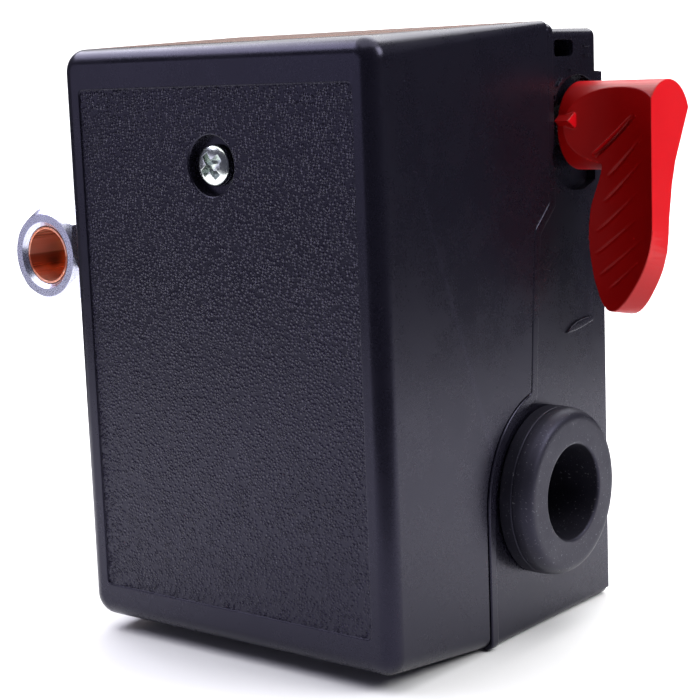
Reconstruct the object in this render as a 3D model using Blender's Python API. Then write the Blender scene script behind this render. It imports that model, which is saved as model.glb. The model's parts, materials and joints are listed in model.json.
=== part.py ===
"""Pressure switch of a small air compressor, built from its separate pieces.

The helpers take millimetres and write metres. +X is the lever side, -Y is the front of the
cover, +Z is up. The origin is the centre of the face that the base stands on.
"""
import math

import bmesh
import bpy
from mathutils import Matrix, Vector

MM = 0.001
GAP = 0.3

# Front cover
FRONT_Y = -49.5
COVER_FRONT_HALF = 35.1
COVER_REAR_HALF = 36.3
COVER_TOP_FRONT = 106.0
COVER_TOP_REAR = 108.0
COVER_BOTTOM_FRONT = 2.8
COVER_BOTTOM_REAR = -1.3
COVER_WALL = 2.0
FRONT_ROUND = 3.0
CORNER_FRONT = 4.0
CORNER_REAR = 1.2
PANEL_HALF_WIDTH = 30.65
PANEL_LOW = 9.0
PANEL_HIGH = 99.0
PANEL_DEPTH = 0.3

# Seam between the cover and the base
SEAM_TOP_Y = -1.3
SEAM_WAIST_Y = -7.4
SEAM_STEP_HIGH = 76.6
SEAM_STEP_LOW = 72.2
SEAM_ARC_RADIUS = 19.1
BEAD_WIDTH = 2.0
TONGUE_LENGTH = 3.0

# Base
BASE_HALF = 35.1
BASE_TOP = 106.7
BASE_BACK = 18.3
BASE_CAVITY_HALF = 32.2
BASE_CAVITY_LOW = 4.0
BASE_CAVITY_HIGH = 103.9
FLOOR_Y = 15.8
BEAD_HALF = 36.0
TONGUE_HALF = 33.4

# Cable entries
ENTRY_Y = -3.5
ENTRY_Z = 25.3
ENTRY_BORE = 8.55
ENTRY_FLANGE = 15.1
ENTRY_NECK = 10.4
ENTRY_FACE_X = 41.5

# Lever
LEVER_Y = 10.5
LEVER_Z = 89.4
HUB_RADIUS = 7.9
HUB_INNER_X = 35.5
HUB_OUTER_X = 44.0
LEVER_END_X = 53.3
BLADE_FRONT_Y = 4.4
BLADE_BACK_Y = 10.0
SCOOP_RADIUS = 13.0
SCOOP_X = 46.0
SCOOP_Y = -6.6
SCOOP_BEND = 0.0058
SCOOP_BEND_Z = 74.0
SOCKET_RADIUS = 3.2
RECESS_RADIUS = 11.5
RECESS_DEPTH = 0.8
RECESS_BACK_Y = 16.2
SHAFT_BORE = 4.3

# Cover screw and its post
POST_Z = 85.9
POST_FRONT_Y = -39.7
SCREW_RECESS_RADIUS = 5.1
SCREW_RECESS_FLOOR = -47.2

# Pressure port
PORT_Z = 48.0
FLANGE_HALF = 27.0
FLANGE_FRONT_Y = 18.6
FLANGE_BACK_Y = 26.0
SHOULDER_RADIUS = 15.5
FLANGE_SCREW_HOLE = 2.4
ORIFICE_RADIUS = 2.0
BOSS_BACK_Y = 44.0
BOSS_FLATS = 26.0
PORT_THREAD_RADIUS = 5.7
FLANGE_SCREW_REACH = 21.0
DIAPHRAGM_RADIUS = 17.0

# Side window, rib and top strip of the base
WINDOW_LOW = (2.9, 101.8)
WINDOW_HIGH = (9.1, 104.7)
RIB_LOW = (4.9, 51.9)
RIB_HIGH = (14.4, 54.0)
STRIP_LOW = (18.0, 2.0)
STRIP_HIGH = (26.0, 13.0)
NOTCH_Y = 16.4
NOTCH_Z = 99.0
LIP_BACK = 19.1
LIP_WIDTH = 1.6
LIP_LOW = 1.0
LIP_HIGH = 98.0
GROUND_X = 20.0
GROUND_Z = 12.0
GROUND_BOSS_RADIUS = 4.5
GROUND_BOSS_Y = 8.0
SCREW_HOLE = 2.0

# Rocker, springs and frame
PIVOT_Y = 7.1
PIVOT_Z = 26.0
PIN_RADIUS = 2.0
PLATE_FRONT_Y = 6.2
PLATE_BACK_Y = 8.0
FRAME_FRONT_Y = 13.5
FRAME_BACK_Y = 15.5
SPRING_SEAT_Y = 5.9
RANGE_Z = 38.0
DIFFERENTIAL_X = 10.0
DIFFERENTIAL_Z = 52.0
CONTACT_Z = 70.0

# Terminal block
BLOCK_FRONT_Y = -32.0
BLOCK_BACK_Y = -18.0
BLOCK_HALF = 31.5
BLOCK_LOW = 60.0
BLOCK_HIGH = 80.0
LEG_X = 29.7
LEG_LOW = 75.5
LEG_HIGH = 80.5
LEG_SCREW_Z = 78.0
POLE_X = 13.0
TERMINAL_RISE = 6.5
STRIP_WIDTH = 9.0
STRIP_THICKNESS = 1.2

# Unloader valve
VALVE_X = -51.2
VALVE_Y = 2.5
VALVE_Z = 68.2
VALVE_STEM = 5.0
VALVE_GUIDE = 1.9
NUT_FRONT_Y = -41.5
NUT_BACK_Y = -28.0
NUT_FLATS = 15.8
NUT_TURN = 40
NUT_BEVEL = 0.7
NUT_THREAD_RADIUS = 6.5
SLEEVE_FRONT_Y = -40.8
SLEEVE_BACK_Y = -31.4
SLEEVE_RADIUS = 5.55
SLEEVE_BORE = 4.95
LOCKNUT_FLATS = 12.0

MATERIALS = {
    "black_plastic": ((0.013, 0.012, 0.017), 0.38, 0.0),
    "black_rubber": ((0.016, 0.016, 0.018), 0.72, 0.0),
    "red_plastic": ((0.62, 0.012, 0.018), 0.36, 0.0),
    "brown_phenolic": ((0.10, 0.035, 0.016), 0.5, 0.0),
    "white_nylon": ((0.68, 0.66, 0.60), 0.5, 0.0),
    "zinc_plate": ((0.70, 0.71, 0.73), 0.3, 1.0),
    "steel": ((0.46, 0.46, 0.47), 0.4, 1.0),
    "spring_steel": ((0.33, 0.33, 0.35), 0.35, 1.0),
    "die_cast": ((0.56, 0.57, 0.58), 0.5, 1.0),
    "brass": ((0.72, 0.50, 0.20), 0.32, 1.0),
    "copper": ((0.78, 0.30, 0.14), 0.3, 1.0),
}


# ---------------------------------------------------------------- helpers

def clear_scene():
    """Remove every object that is already in the scene."""
    for item in list(bpy.data.objects):
        bpy.data.objects.remove(item, do_unlink=True)


def make_materials():
    """Return one Principled material for each entry of MATERIALS."""
    made = {}
    for name, (colour, roughness, metallic) in MATERIALS.items():
        material = bpy.data.materials.new(name)
        material.use_nodes = True
        shader = material.node_tree.nodes["Principled BSDF"]
        shader.inputs["Base Color"].default_value = (*colour, 1.0)
        shader.inputs["Roughness"].default_value = roughness
        shader.inputs["Metallic"].default_value = metallic
        made[name] = material
    return made


def spot(axis, along, first, second):
    """Point at `along` on the axis, with the two other coordinates in X, Y, Z order."""
    if axis == "X":
        return Vector((along, first, second))
    if axis == "Y":
        return Vector((first, along, second))
    return Vector((first, second, along))


def piece_from(name, shape):
    """Turn a bmesh drawn in millimetres into an object in metres."""
    bmesh.ops.recalc_face_normals(shape, faces=shape.faces)
    mesh = bpy.data.meshes.new(name)
    shape.to_mesh(mesh)
    shape.free()
    mesh.transform(Matrix.Scale(MM, 4))
    piece = bpy.data.objects.new(name, mesh)
    bpy.context.scene.collection.objects.link(piece)
    return piece


def loft(name, rings):
    """Solid through closed rings that all have the same number of points."""
    shape = bmesh.new()
    rows = [[shape.verts.new(point) for point in ring] for ring in rings]
    for lower, upper in zip(rows, rows[1:]):
        for index in range(len(lower)):
            after = (index + 1) % len(lower)
            shape.faces.new((lower[index], lower[after], upper[after], upper[index]))
    shape.faces.new(rows[0])
    shape.faces.new(rows[-1])
    return piece_from(name, shape)


def prism(name, axis, outline, low, high):
    """Extrude a flat outline along an axis."""
    ends = [[spot(axis, along, *point) for point in outline] for along in (low, high)]
    return loft(name, ends)


def box(name, low, high):
    """Block between two corners."""
    outline = [(low[0], low[1]), (high[0], low[1]), (high[0], high[1]), (low[0], high[1])]
    return prism(name, "Z", outline, low[2], high[2])


def circle(first, second, radius, count=24, turn=0.0):
    """Outline of a circle, or of a regular polygon when count is small."""
    angles = [turn + 2 * math.pi * step / count for step in range(count)]
    return [(first + radius * math.cos(angle), second + radius * math.sin(angle)) for angle in angles]


def rounded(first_low, second_low, first_high, second_high, radius, steps=3):
    """Outline of a rectangle with round corners."""
    corners = (
        (first_high - radius, second_high - radius, 0),
        (first_low + radius, second_high - radius, 90),
        (first_low + radius, second_low + radius, 180),
        (first_high - radius, second_low + radius, 270),
    )
    outline = []
    for first, second, start in corners:
        for step in range(steps + 1):
            angle = math.radians(start + 90 * step / steps)
            outline.append((first + radius * math.cos(angle), second + radius * math.sin(angle)))
    return outline


def rod(name, axis, first, second, radius, low, high, count=24):
    """Round bar along an axis."""
    return prism(name, axis, circle(first, second, radius, count), low, high)


def hexagon(name, axis, first, second, flats, low, high, turn=30):
    """Six-sided bar along an axis, given its size across the flats and its first corner's angle."""
    outline = circle(first, second, flats / math.sqrt(3), 6, math.radians(turn))
    return prism(name, axis, outline, low, high)


def turned(name, axis, first, second, profile, count=24, ring=False):
    """Turn a profile of (along, radius) points. A ring's profile closes on itself."""
    shape = bmesh.new()
    rows = []
    for along, radius in profile:
        if radius == 0:
            rows.append([shape.verts.new(spot(axis, along, first, second))])
            continue
        points = circle(first, second, radius, count)
        rows.append([shape.verts.new(spot(axis, along, *point)) for point in points])
    pairs = list(zip(rows, rows[1:]))
    if ring:
        pairs.append((rows[-1], rows[0]))
    for lower, upper in pairs:
        for index in range(count):
            after = (index + 1) % count
            corners = [lower[index % len(lower)], lower[after % len(lower)]]
            corners += [upper[after % len(upper)], upper[index % len(upper)]]
            shape.faces.new(list(dict.fromkeys(corners)))
    return piece_from(name, shape)


def coil(name, first, second, radius, wire, low, high, turns, axis="Y", sides=5, steps=10):
    """Round-wire compression spring."""
    count = turns * steps
    rings = []
    for step in range(count + 1):
        angle = 2 * math.pi * step / steps
        along = low + wire + (high - low - 2 * wire) * step / count
        ring = []
        for side in range(sides):
            around = 2 * math.pi * side / sides
            reach = radius + wire * math.cos(around)
            height = along + wire * math.sin(around)
            point = (first + reach * math.cos(angle), second + reach * math.sin(angle))
            ring.append(spot(axis, height, *point))
        rings.append(ring)
    return loft(name, rings)


def combine(piece, other, operation):
    """Apply an exact Boolean and discard the tool."""
    modifier = piece.modifiers.new(operation.lower(), "BOOLEAN")
    modifier.operation = operation
    modifier.solver = "EXACT"
    modifier.object = other
    graph = bpy.context.evaluated_depsgraph_get()
    mesh = bpy.data.meshes.new_from_object(piece.evaluated_get(graph))
    piece.modifiers.clear()
    piece.data = mesh
    bpy.data.objects.remove(other, do_unlink=True)
    return piece


def join(piece, *others):
    """Fuse further solids onto a piece."""
    for other in others:
        combine(piece, other, "UNION")
    return piece


def cut(piece, *tools):
    """Cut tools out of a piece."""
    for tool in tools:
        combine(piece, tool, "DIFFERENCE")
    return piece


def keep(piece, tool):
    """Keep only what lies inside the tool."""
    return combine(piece, tool, "INTERSECT")


def finish(piece, material, origin=None, sharp=35):
    """Give a piece its name's mesh, material, shading and origin."""
    mesh = piece.data
    mesh.name = piece.name
    mesh.materials.clear()
    mesh.materials.append(MADE[material])
    mesh.shade_smooth()
    mesh.set_sharp_from_angle(angle=math.radians(sharp))
    if origin:
        centre = Vector(origin) * MM
        mesh.transform(Matrix.Translation(-centre))
        piece.location = centre
    return piece


def screw(name, first, second, seat, tip, head, height, shank, slot="cross"):
    """Pan-head screw along Y. It turns over when the tip lies in front of the seat."""
    way = 1 if tip > seat else -1
    profile = [
        (seat - way * height, 0),
        (seat - way * height, head * 0.55),
        (seat - way * height * 0.4, head),
        (seat, head),
        (seat, shank),
        (tip - way * shank * 0.5, shank),
        (tip, shank * 0.5),
        (tip, 0),
    ]
    made = turned(name, "Y", first, second, profile, count=12)
    near = seat - way * (height + 1)
    far = seat - way * height * 0.35
    arm = head * 0.62 if slot == "cross" else head * 1.2
    half = head * 0.13
    low_y = min(near, far)
    high_y = max(near, far)
    cut(made, box("slot", (first - arm, low_y, second - half), (first + arm, high_y, second + half)))
    if slot == "cross":
        cut(made, box("slot", (first - half, low_y, second - arm), (first + half, high_y, second + arm)))
    return finish(made, "zinc_plate")


# ---------------------------------------------------------------- seam and shell outlines

def seam_path():
    """Seam seen from the side, as (y, z) points from the top to the bottom."""
    path = [
        (SEAM_TOP_Y, 115.0),
        (SEAM_TOP_Y, SEAM_STEP_HIGH),
        (SEAM_WAIST_Y + 1.1, SEAM_STEP_LOW),
        (SEAM_WAIST_Y, 60.0),
    ]
    for step in range(10):
        angle = math.radians(105 + 75 * step / 9)
        y = ENTRY_Y + SEAM_ARC_RADIUS * math.cos(angle)
        z = ENTRY_Z + SEAM_ARC_RADIUS * math.sin(angle)
        path.append((y, z))
    path.append((path[-1][0], -8.0))
    return path


def moved_path(path, distance):
    """The path moved sideways, towards +Y when the distance is positive."""
    moved = []
    for index, point in enumerate(path):
        before = Vector(path[max(index - 1, 0)])
        here = Vector(point)
        after = Vector(path[min(index + 1, len(path) - 1)])
        first = (here - before) if index else (after - here)
        second = (after - here) if index < len(path) - 1 else first
        normals = [Vector((-step.y, step.x)).normalized() for step in (first, second)]
        middle = (normals[0] + normals[1]).normalized()
        moved.append(here + middle * distance / middle.dot(normals[0]))
    return [(point.x, point.y) for point in moved]


def behind_seam(name, distance, reach=60.0):
    """Block that fills everything behind the moved seam."""
    path = moved_path(seam_path(), distance)
    outline = path + [(reach, path[-1][1]), (reach, path[0][1])]
    return prism(name, "X", outline, -60.0, 60.0)


def cover_ring(y, inset, wall):
    """Outline of the cover at a depth, inset by the front rounding and by a wall."""
    share = (y - FRONT_Y) / (SEAM_TOP_Y - FRONT_Y)
    half = COVER_FRONT_HALF + (COVER_REAR_HALF - COVER_FRONT_HALF) * share
    top = COVER_TOP_FRONT + (COVER_TOP_REAR - COVER_TOP_FRONT) * share
    bottom = COVER_BOTTOM_FRONT + (COVER_BOTTOM_REAR - COVER_BOTTOM_FRONT) * share
    corner = CORNER_FRONT + (CORNER_REAR - CORNER_FRONT) * share
    shrink = inset + wall
    radius = max(corner - shrink, 0.4)
    outline = rounded(-half + shrink, bottom + shrink, half - shrink, top - shrink, radius)
    return [Vector((x, y, z)) for x, z in outline]


def cover_loft(name, wall):
    """Drafted box with a rounded front, moved in by a wall thickness."""
    front = FRONT_Y + wall
    rounding = FRONT_ROUND - wall * 0.5
    rings = []
    for step in range(5):
        angle = math.radians(90 * step / 4)
        y = front + rounding * (1 - math.cos(angle))
        rings.append(cover_ring(y, rounding * (1 - math.sin(angle)), wall))
    rings.append(cover_ring(8.0 + wall, 0, wall))
    return loft(name, rings)


# ---------------------------------------------------------------- casing

def make_front_cover():
    cover = cover_loft("front_cover", 0.0)
    cut(cover, cover_loft("hollow", COVER_WALL), behind_seam("rim", 0.0))
    panel = rounded(-PANEL_HALF_WIDTH, PANEL_LOW, PANEL_HALF_WIDTH, PANEL_HIGH, 0.6, 2)
    cut(cover, prism("panel", "Y", panel, FRONT_Y - 1, FRONT_Y + PANEL_DEPTH))
    join(cover, rod("boss", "Y", 0, POST_Z, 6.6, FRONT_Y + 1.5, POST_FRONT_Y - GAP))
    cut(
        cover,
        rod("recess", "Y", 0, POST_Z, SCREW_RECESS_RADIUS, FRONT_Y - 1, SCREW_RECESS_FLOOR),
        rod("hole", "Y", 0, POST_Z, 2.3, FRONT_Y - 1, 0, 20),
    )
    return finish(cover, "black_plastic", (0, FRONT_Y, POST_Z))


def base_shell():
    """Walls and floor of the base, with the bead and the tongue along the seam."""
    outer = rounded(-BASE_HALF, 0, BASE_HALF, BASE_TOP, 1.5)
    base = prism("base_housing", "Y", outer, -40, BASE_BACK)
    keep(base, behind_seam("behind", GAP + BEAD_WIDTH - 0.2))
    bead = prism("bead", "Y", rounded(-BEAD_HALF, 0.2, BEAD_HALF, 107.5, 1.4), -40, 10)
    keep(bead, behind_seam("behind", GAP))
    cut(bead, behind_seam("behind", GAP + BEAD_WIDTH))
    tongue = prism("tongue", "Y", rounded(-TONGUE_HALF, 3.1, TONGUE_HALF, 105.5, 2.0), -40, 8)
    keep(tongue, behind_seam("behind", -TONGUE_LENGTH))
    join(base, bead, tongue)
    inside = rounded(-BASE_CAVITY_HALF, BASE_CAVITY_LOW, BASE_CAVITY_HALF, BASE_CAVITY_HIGH, 1.6)
    return cut(base, prism("hollow", "Y", inside, -60, FLOOR_Y))


def side_details(base):
    """Entries, lever bore, recess, window, rib and back lips on the side walls."""
    for side in (-1, 1):
        low = min(side * 30.0, side * 38.0)
        cut(base, rod("entry", "X", ENTRY_Y, ENTRY_Z, ENTRY_NECK + GAP, low, low + 8.0))
    floor_x = BASE_HALF - RECESS_DEPTH
    recess = rod("recess", "X", LEVER_Y, LEVER_Z, RECESS_RADIUS, floor_x, BASE_HALF + 5, 32)
    keep(recess, box("rim", (30, -5, 70), (50, RECESS_BACK_Y, 110)))
    cut(
        base,
        recess,
        rod("bore", "X", LEVER_Y, LEVER_Z, SHAFT_BORE, 30, 40),
        box("window", (31.0, *WINDOW_LOW), (37.0, *WINDOW_HIGH)),
        rod("valve", "X", VALVE_Y, VALVE_Z, VALVE_STEM + 0.4, -40, -30),
        box("notch", (-40, NOTCH_Y, NOTCH_Z), (40, 20.0, 110.0)),
    )
    leaf = prism("rib", "X", rounded(*RIB_LOW, *RIB_HIGH, 1.0, 3), BASE_HALF - 1, BASE_HALF + 0.5)
    plate = prism("strip", "Z", rounded(*STRIP_LOW, *STRIP_HIGH, 1.0, 2), BASE_TOP - 1, BASE_TOP + 0.6)
    join(base, leaf, plate)
    for side in (-1, 1):
        near, far = sorted((side * (BASE_HALF - LIP_WIDTH), side * BASE_HALF))
        join(base, box("lip", (near, FLOOR_Y + 0.5, LIP_LOW), (far, LIP_BACK, LIP_HIGH)))


def floor_details(base):
    """Openings and bosses in the floor of the base."""
    for x in (-GROUND_X, GROUND_X):
        join(base, rod("boss", "Y", x, GROUND_Z, GROUND_BOSS_RADIUS, GROUND_BOSS_Y, FLOOR_Y + 0.5, 20))
        cut(base, rod("hole", "Y", x, GROUND_Z, SCREW_HOLE, 0.0, FLOOR_Y - 1, 16))
    cut(base, rod("mouth", "Y", 0, PORT_Z, SHOULDER_RADIUS, FLOOR_Y - 1, 20))
    for x, z in flange_screw_places():
        cut(base, rod("hole", "Y", x, z, FLANGE_SCREW_HOLE, FLOOR_Y - 1, 20, 16))
    for x, z in ((-LEG_X, LEG_SCREW_Z), (LEG_X, LEG_SCREW_Z), (0.0, POST_Z)):
        cut(base, rod("hole", "Y", x, z, SCREW_HOLE, FLOOR_Y - 1, 20, 16))


def make_base():
    base = base_shell()
    side_details(base)
    floor_details(base)
    return finish(base, "black_plastic")


def make_grommet(name, side):
    """Rubber bush with a groove that holds the base wall."""
    profile = [
        (28.6, ENTRY_BORE + 0.4),
        (28.2, 10.2),
        (29.2, 12.3),
        (31.9, 12.5),
        (31.9, ENTRY_NECK),
        (BASE_HALF + GAP, ENTRY_NECK),
        (BASE_HALF + GAP, ENTRY_FLANGE),
        (38.6, ENTRY_FLANGE),
        (40.2, ENTRY_FLANGE - 0.35),
        (41.1, ENTRY_FLANGE - 1.0),
        (ENTRY_FACE_X, ENTRY_FLANGE - 1.8),
        (ENTRY_FACE_X, ENTRY_BORE + 0.3),
        (ENTRY_FACE_X - 0.3, ENTRY_BORE),
        (29.0, ENTRY_BORE),
    ]
    profile = [(side * along, radius) for along, radius in profile]
    bush = turned(name, "X", ENTRY_Y, ENTRY_Z, profile, count=28, ring=True)
    return finish(bush, "black_rubber")


# ---------------------------------------------------------------- lever

def lever_profile():
    """Side outline of the blade end: a round top that runs down into a tapered tail."""
    outline = []
    for step in range(13):
        angle = math.radians(205 - 185 * step / 12)
        outline.append((LEVER_Y + HUB_RADIUS * math.cos(angle), LEVER_Z + HUB_RADIUS * math.sin(angle)))
    outline += [(13.0, 83.0), (11.7, 79.0), (10.6, 73.0), (BLADE_BACK_Y, 66.0), (BLADE_BACK_Y, 54.0)]
    outline += [(2.9, 54.0), (2.9, 80.0)]
    return outline


def blade_rings():
    """Leaf with its tip down, whose back face is fuller at the tip than its front face."""
    end = LEVER_END_X
    front = [(end, 100.0), (end, 71.0), (52.6, 67.8), (51.2, 64.8), (49.5, 62.1), (47.9, 59.7)]
    front += [(46.4, 57.8), (45.1, 56.7), (43.8, 57.0), (42.5, 58.9), (41.2, 62.6), (40.4, 66.6)]
    back = [(end, 100.0), (end, 71.0), (53.2, 67.0), (52.3, 63.6), (51.1, 61.1), (49.9, 58.9)]
    back += [(48.5, 56.9), (46.9, 55.8), (44.8, 55.7), (42.8, 57.9), (41.2, 62.0), (40.4, 66.2)]
    inner = [(40.1, 70.5), (40.3, 74.5), (41.1, 77.5), (42.4, 81.5), (42.4, 100.0)]
    stations = ((-10.0, front), (BLADE_FRONT_Y, front), (BLADE_BACK_Y, back), (30.0, back))
    return [[Vector((x, y, z)) for x, z in outline + inner] for y, outline in stations]


def scoop_rings():
    """Upright cylinder that leans away from the blade towards its lower end."""
    rings = []
    for z in (50.0, 55.0, 60.0, 65.0, 70.0, 110.0):
        lean = SCOOP_BEND * max(SCOOP_BEND_Z - z, 0.0) ** 2
        outline = circle(SCOOP_X, SCOOP_Y - lean, SCOOP_RADIUS, 60)
        rings.append([Vector((x, y, z)) for x, y in outline])
    return rings


def make_lever():
    knob = prism("lever_knob", "X", lever_profile(), 38.0, LEVER_END_X)
    keep(knob, loft("leaf", blade_rings()))
    hub = rod("hub", "X", LEVER_Y, LEVER_Z, HUB_RADIUS, HUB_INNER_X, HUB_OUTER_X, 36)
    wedge = [(1.2, 90.6), (3.6, 89.2), (5.0, 90.6), (3.6, 92.0)]
    join(knob, hub, prism("pointer", "X", wedge, HUB_INNER_X + 0.1, 38.6))
    socket = rod("socket", "X", LEVER_Y, LEVER_Z, SOCKET_RADIUS, 30, HUB_OUTER_X + 0.5, 20)
    cut(knob, loft("scoop", scoop_rings()), socket)
    return finish(knob, "red_plastic", (HUB_INNER_X, LEVER_Y, LEVER_Z), sharp=28)


def make_camshaft():
    """Spindle of the lever, with a stop collar and a cam behind the rocker's tail."""
    profile = [
        (12.0, 0),
        (12.0, 3.6),
        (29.2, 3.6),
        (29.2, 5.0),
        (31.7, 5.0),
        (31.7, 3.9),
        (35.2, 3.9),
        (35.2, 2.9),
        (44.0, 2.9),
        (44.0, 0),
    ]
    shaft = turned("lever_camshaft", "X", LEVER_Y, LEVER_Z, profile, count=18)
    cam = rod("cam", "X", LEVER_Y, LEVER_Z, 4.8, 14.0, 19.0, 18)
    nose = [(LEVER_Y - 2.2, LEVER_Z - 3.5), (LEVER_Y + 2.2, LEVER_Z - 3.5)]
    nose += [(LEVER_Y + 1.2, LEVER_Z - 7.1), (LEVER_Y - 1.2, LEVER_Z - 7.1)]
    join(shaft, cam, prism("nose", "X", nose, 14.1, 18.9))
    return finish(shaft, "white_nylon", (12.0, LEVER_Y, LEVER_Z))


# ---------------------------------------------------------------- pressure side

def flange_screw_places():
    """Centres of the four screws that hold the port flange."""
    reach = FLANGE_SCREW_REACH
    return [(x, PORT_Z + z) for x in (-reach, reach) for z in (-reach, reach)]


def make_flange():
    half = FLANGE_HALF
    outline = rounded(-half, PORT_Z - half, half, PORT_Z + half, 6.0)
    flange = prism("port_flange", "Y", outline, FLANGE_FRONT_Y, FLANGE_BACK_Y)
    join(
        flange,
        rod("shoulder", "Y", 0, PORT_Z, SHOULDER_RADIUS, FLANGE_BACK_Y - 1, 29.0, 28),
        hexagon("boss", "Y", 0, PORT_Z, BOSS_FLATS, FLANGE_BACK_Y - 1, BOSS_BACK_Y),
    )
    cut(
        flange,
        rod("seat", "Y", 0, PORT_Z, DIAPHRAGM_RADIUS + GAP, 10, 20.4, 32),
        rod("chamber", "Y", 0, PORT_Z, 13.0, 20, 22.5),
        rod("orifice", "Y", 0, PORT_Z, ORIFICE_RADIUS, 22, 31, 16),
        rod("thread", "Y", 0, PORT_Z, PORT_THREAD_RADIUS, 30, 50),
    )
    for x, z in flange_screw_places():
        cut(flange, rod("hole", "Y", x, z, FLANGE_SCREW_HOLE, 10, 40, 16))
    return finish(flange, "die_cast")


def make_diaphragm():
    profile = [(18.9, 0), (18.9, DIAPHRAGM_RADIUS), (20.1, DIAPHRAGM_RADIUS), (20.1, 0)]
    return finish(turned("diaphragm", "Y", 0, PORT_Z, profile, count=28), "black_rubber")


def make_plunger():
    """Pressure plate and the stem that pushes the rocker."""
    profile = [(8.35, 0), (8.35, 1.8), (9.2, 2.6), (10.4, 2.6), (10.4, 4.6)]
    profile += [(16.9, 4.6), (16.9, 14.8), (18.5, 14.8), (18.5, 0)]
    return finish(turned("plunger", "Y", 0, PORT_Z, profile, count=20), "white_nylon", (0, 18.5, PORT_Z))


# ---------------------------------------------------------------- mechanism

def make_frame_plate():
    """Steel plate on the floor, with two ears for the pivot pin."""
    frame = prism("frame_plate", "Y", rounded(-26, 22, 26, 75, 3, 2), FRAME_FRONT_Y, FRAME_BACK_Y)
    for side in (-1, 1):
        ear = rounded(3.2, 21.8, 14.5, 31, 2.5, 3)
        low = min(side * 16.5, side * 18.1)
        join(frame, prism("ear", "X", ear, low, low + 1.6))
    cut(
        frame,
        rod("pin", "X", PIVOT_Y, PIVOT_Z, PIN_RADIUS + GAP, -25, 25, 20),
        rod("stem", "Y", 0, PORT_Z, 5.2, 10, 18, 24),
        rod("stud", "Y", 0, RANGE_Z, 2.6, 10, 18, 16),
        rod("stud", "Y", DIFFERENTIAL_X, DIFFERENTIAL_Z, 2.0, 10, 18, 16),
    )
    for x, z in flange_screw_places():
        cut(frame, rod("hole", "Y", x, z, 2.3, 10, 18, 16))
    return finish(frame, "zinc_plate")


def make_pivot_pin():
    pin = rod("pivot_pin", "X", PIVOT_Y, PIVOT_Z, PIN_RADIUS, -18.7, 18.7, 20)
    return finish(pin, "steel")


def make_rocker():
    """Lever plate: the plunger pushes it, the springs hold it back, and its top moves the contacts."""
    right = [(15, 24), (15, 57), (9, 60), (9, 74), (19, 74), (19, 82), (13.5, 82), (13.5, 78)]
    left = [(-9, 78), (-9, 71.8), (-17.8, 71.8), (-17.8, 64.5), (-9, 64.5), (-9, 60), (-15, 57), (-15, 24)]
    outline = right + left
    rocker = prism("rocker_plate", "Y", outline, PLATE_FRONT_Y, PLATE_BACK_Y)
    ramp = [(-17.7, PLATE_FRONT_Y + 0.6), (-17.7, PLATE_FRONT_Y), (-12.0, -2.5), (-10.5, -2.5)]
    ramp += [(-10.5, PLATE_FRONT_Y + 0.6)]
    join(
        rocker,
        rod("knuckle", "X", PIVOT_Y, PIVOT_Z, 3.6, -15.9, 15.9, 24),
        prism("ramp", "Z", ramp, 64.7, 71.6),
    )
    cut(
        rocker,
        rod("bore", "X", PIVOT_Y, PIVOT_Z, PIN_RADIUS + GAP, -25, 25, 20),
        rod("hole", "Y", 0, RANGE_Z, 4.2, 0, 12, 20),
        rod("hole", "Y", DIFFERENTIAL_X, DIFFERENTIAL_Z, 2.9, 0, 12, 20),
    )
    return finish(rocker, "zinc_plate", (0, PIVOT_Y, PIVOT_Z))


def stud(name, x, z, tip, radius, collar, count):
    """Threaded stud with a collar in front of the frame plate."""
    front = FRAME_FRONT_Y - 0.9
    back = FRAME_FRONT_Y - GAP
    end = FRAME_BACK_Y - 0.1
    profile = [(tip, 0), (tip, radius * 0.78), (tip + 1, radius), (front, radius), (front, collar)]
    profile += [(back, collar), (back, radius), (end, radius), (end, 0)]
    return turned(name, "Y", x, z, profile, count)


def make_range_parts():
    """Range spring on its stud, with its seat and adjusting nut."""
    finish(stud("range_stud", 0, RANGE_Z, -32.0, 2.3, 4.5, 14), "zinc_plate")
    finish(coil("range_spring", 0, RANGE_Z, 6.0, 0.95, -17.6, SPRING_SEAT_Y, 6), "spring_steel")
    profile = [(-17.9, 2.6), (-17.9, 7.2), (-19.5, 7.2), (-20.2, 4.6), (-20.2, 2.6)]
    finish(turned("range_seat", "Y", 0, RANGE_Z, profile, count=20, ring=True), "zinc_plate")
    nut = hexagon("range_nut", "Y", 0, RANGE_Z, 10.0, -25.5, -20.5)
    cut(nut, rod("hole", "Y", 0, RANGE_Z, 2.6, -30, -10, 18))
    finish(nut, "zinc_plate")


def make_differential_parts():
    """Smaller spring that sets the gap between cut-out and cut-in."""
    x = DIFFERENTIAL_X
    z = DIFFERENTIAL_Z
    finish(stud("differential_stud", x, z, -17.0, 1.7, 3.4, 12), "zinc_plate")
    spring = coil("differential_spring", x, z, 3.2, 0.5, -9.7, SPRING_SEAT_Y, 6, sides=4, steps=9)
    finish(spring, "spring_steel")
    nut = hexagon("differential_nut", "Y", x, z, 7.0, -14.0, -10.8)
    join(nut, rod("collar", "Y", x, z, 4.2, -11.2, -10.0, 24))
    cut(nut, rod("hole", "Y", x, z, 2.0, -30, 0, 16))
    finish(nut, "zinc_plate")


# ---------------------------------------------------------------- contacts

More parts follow.
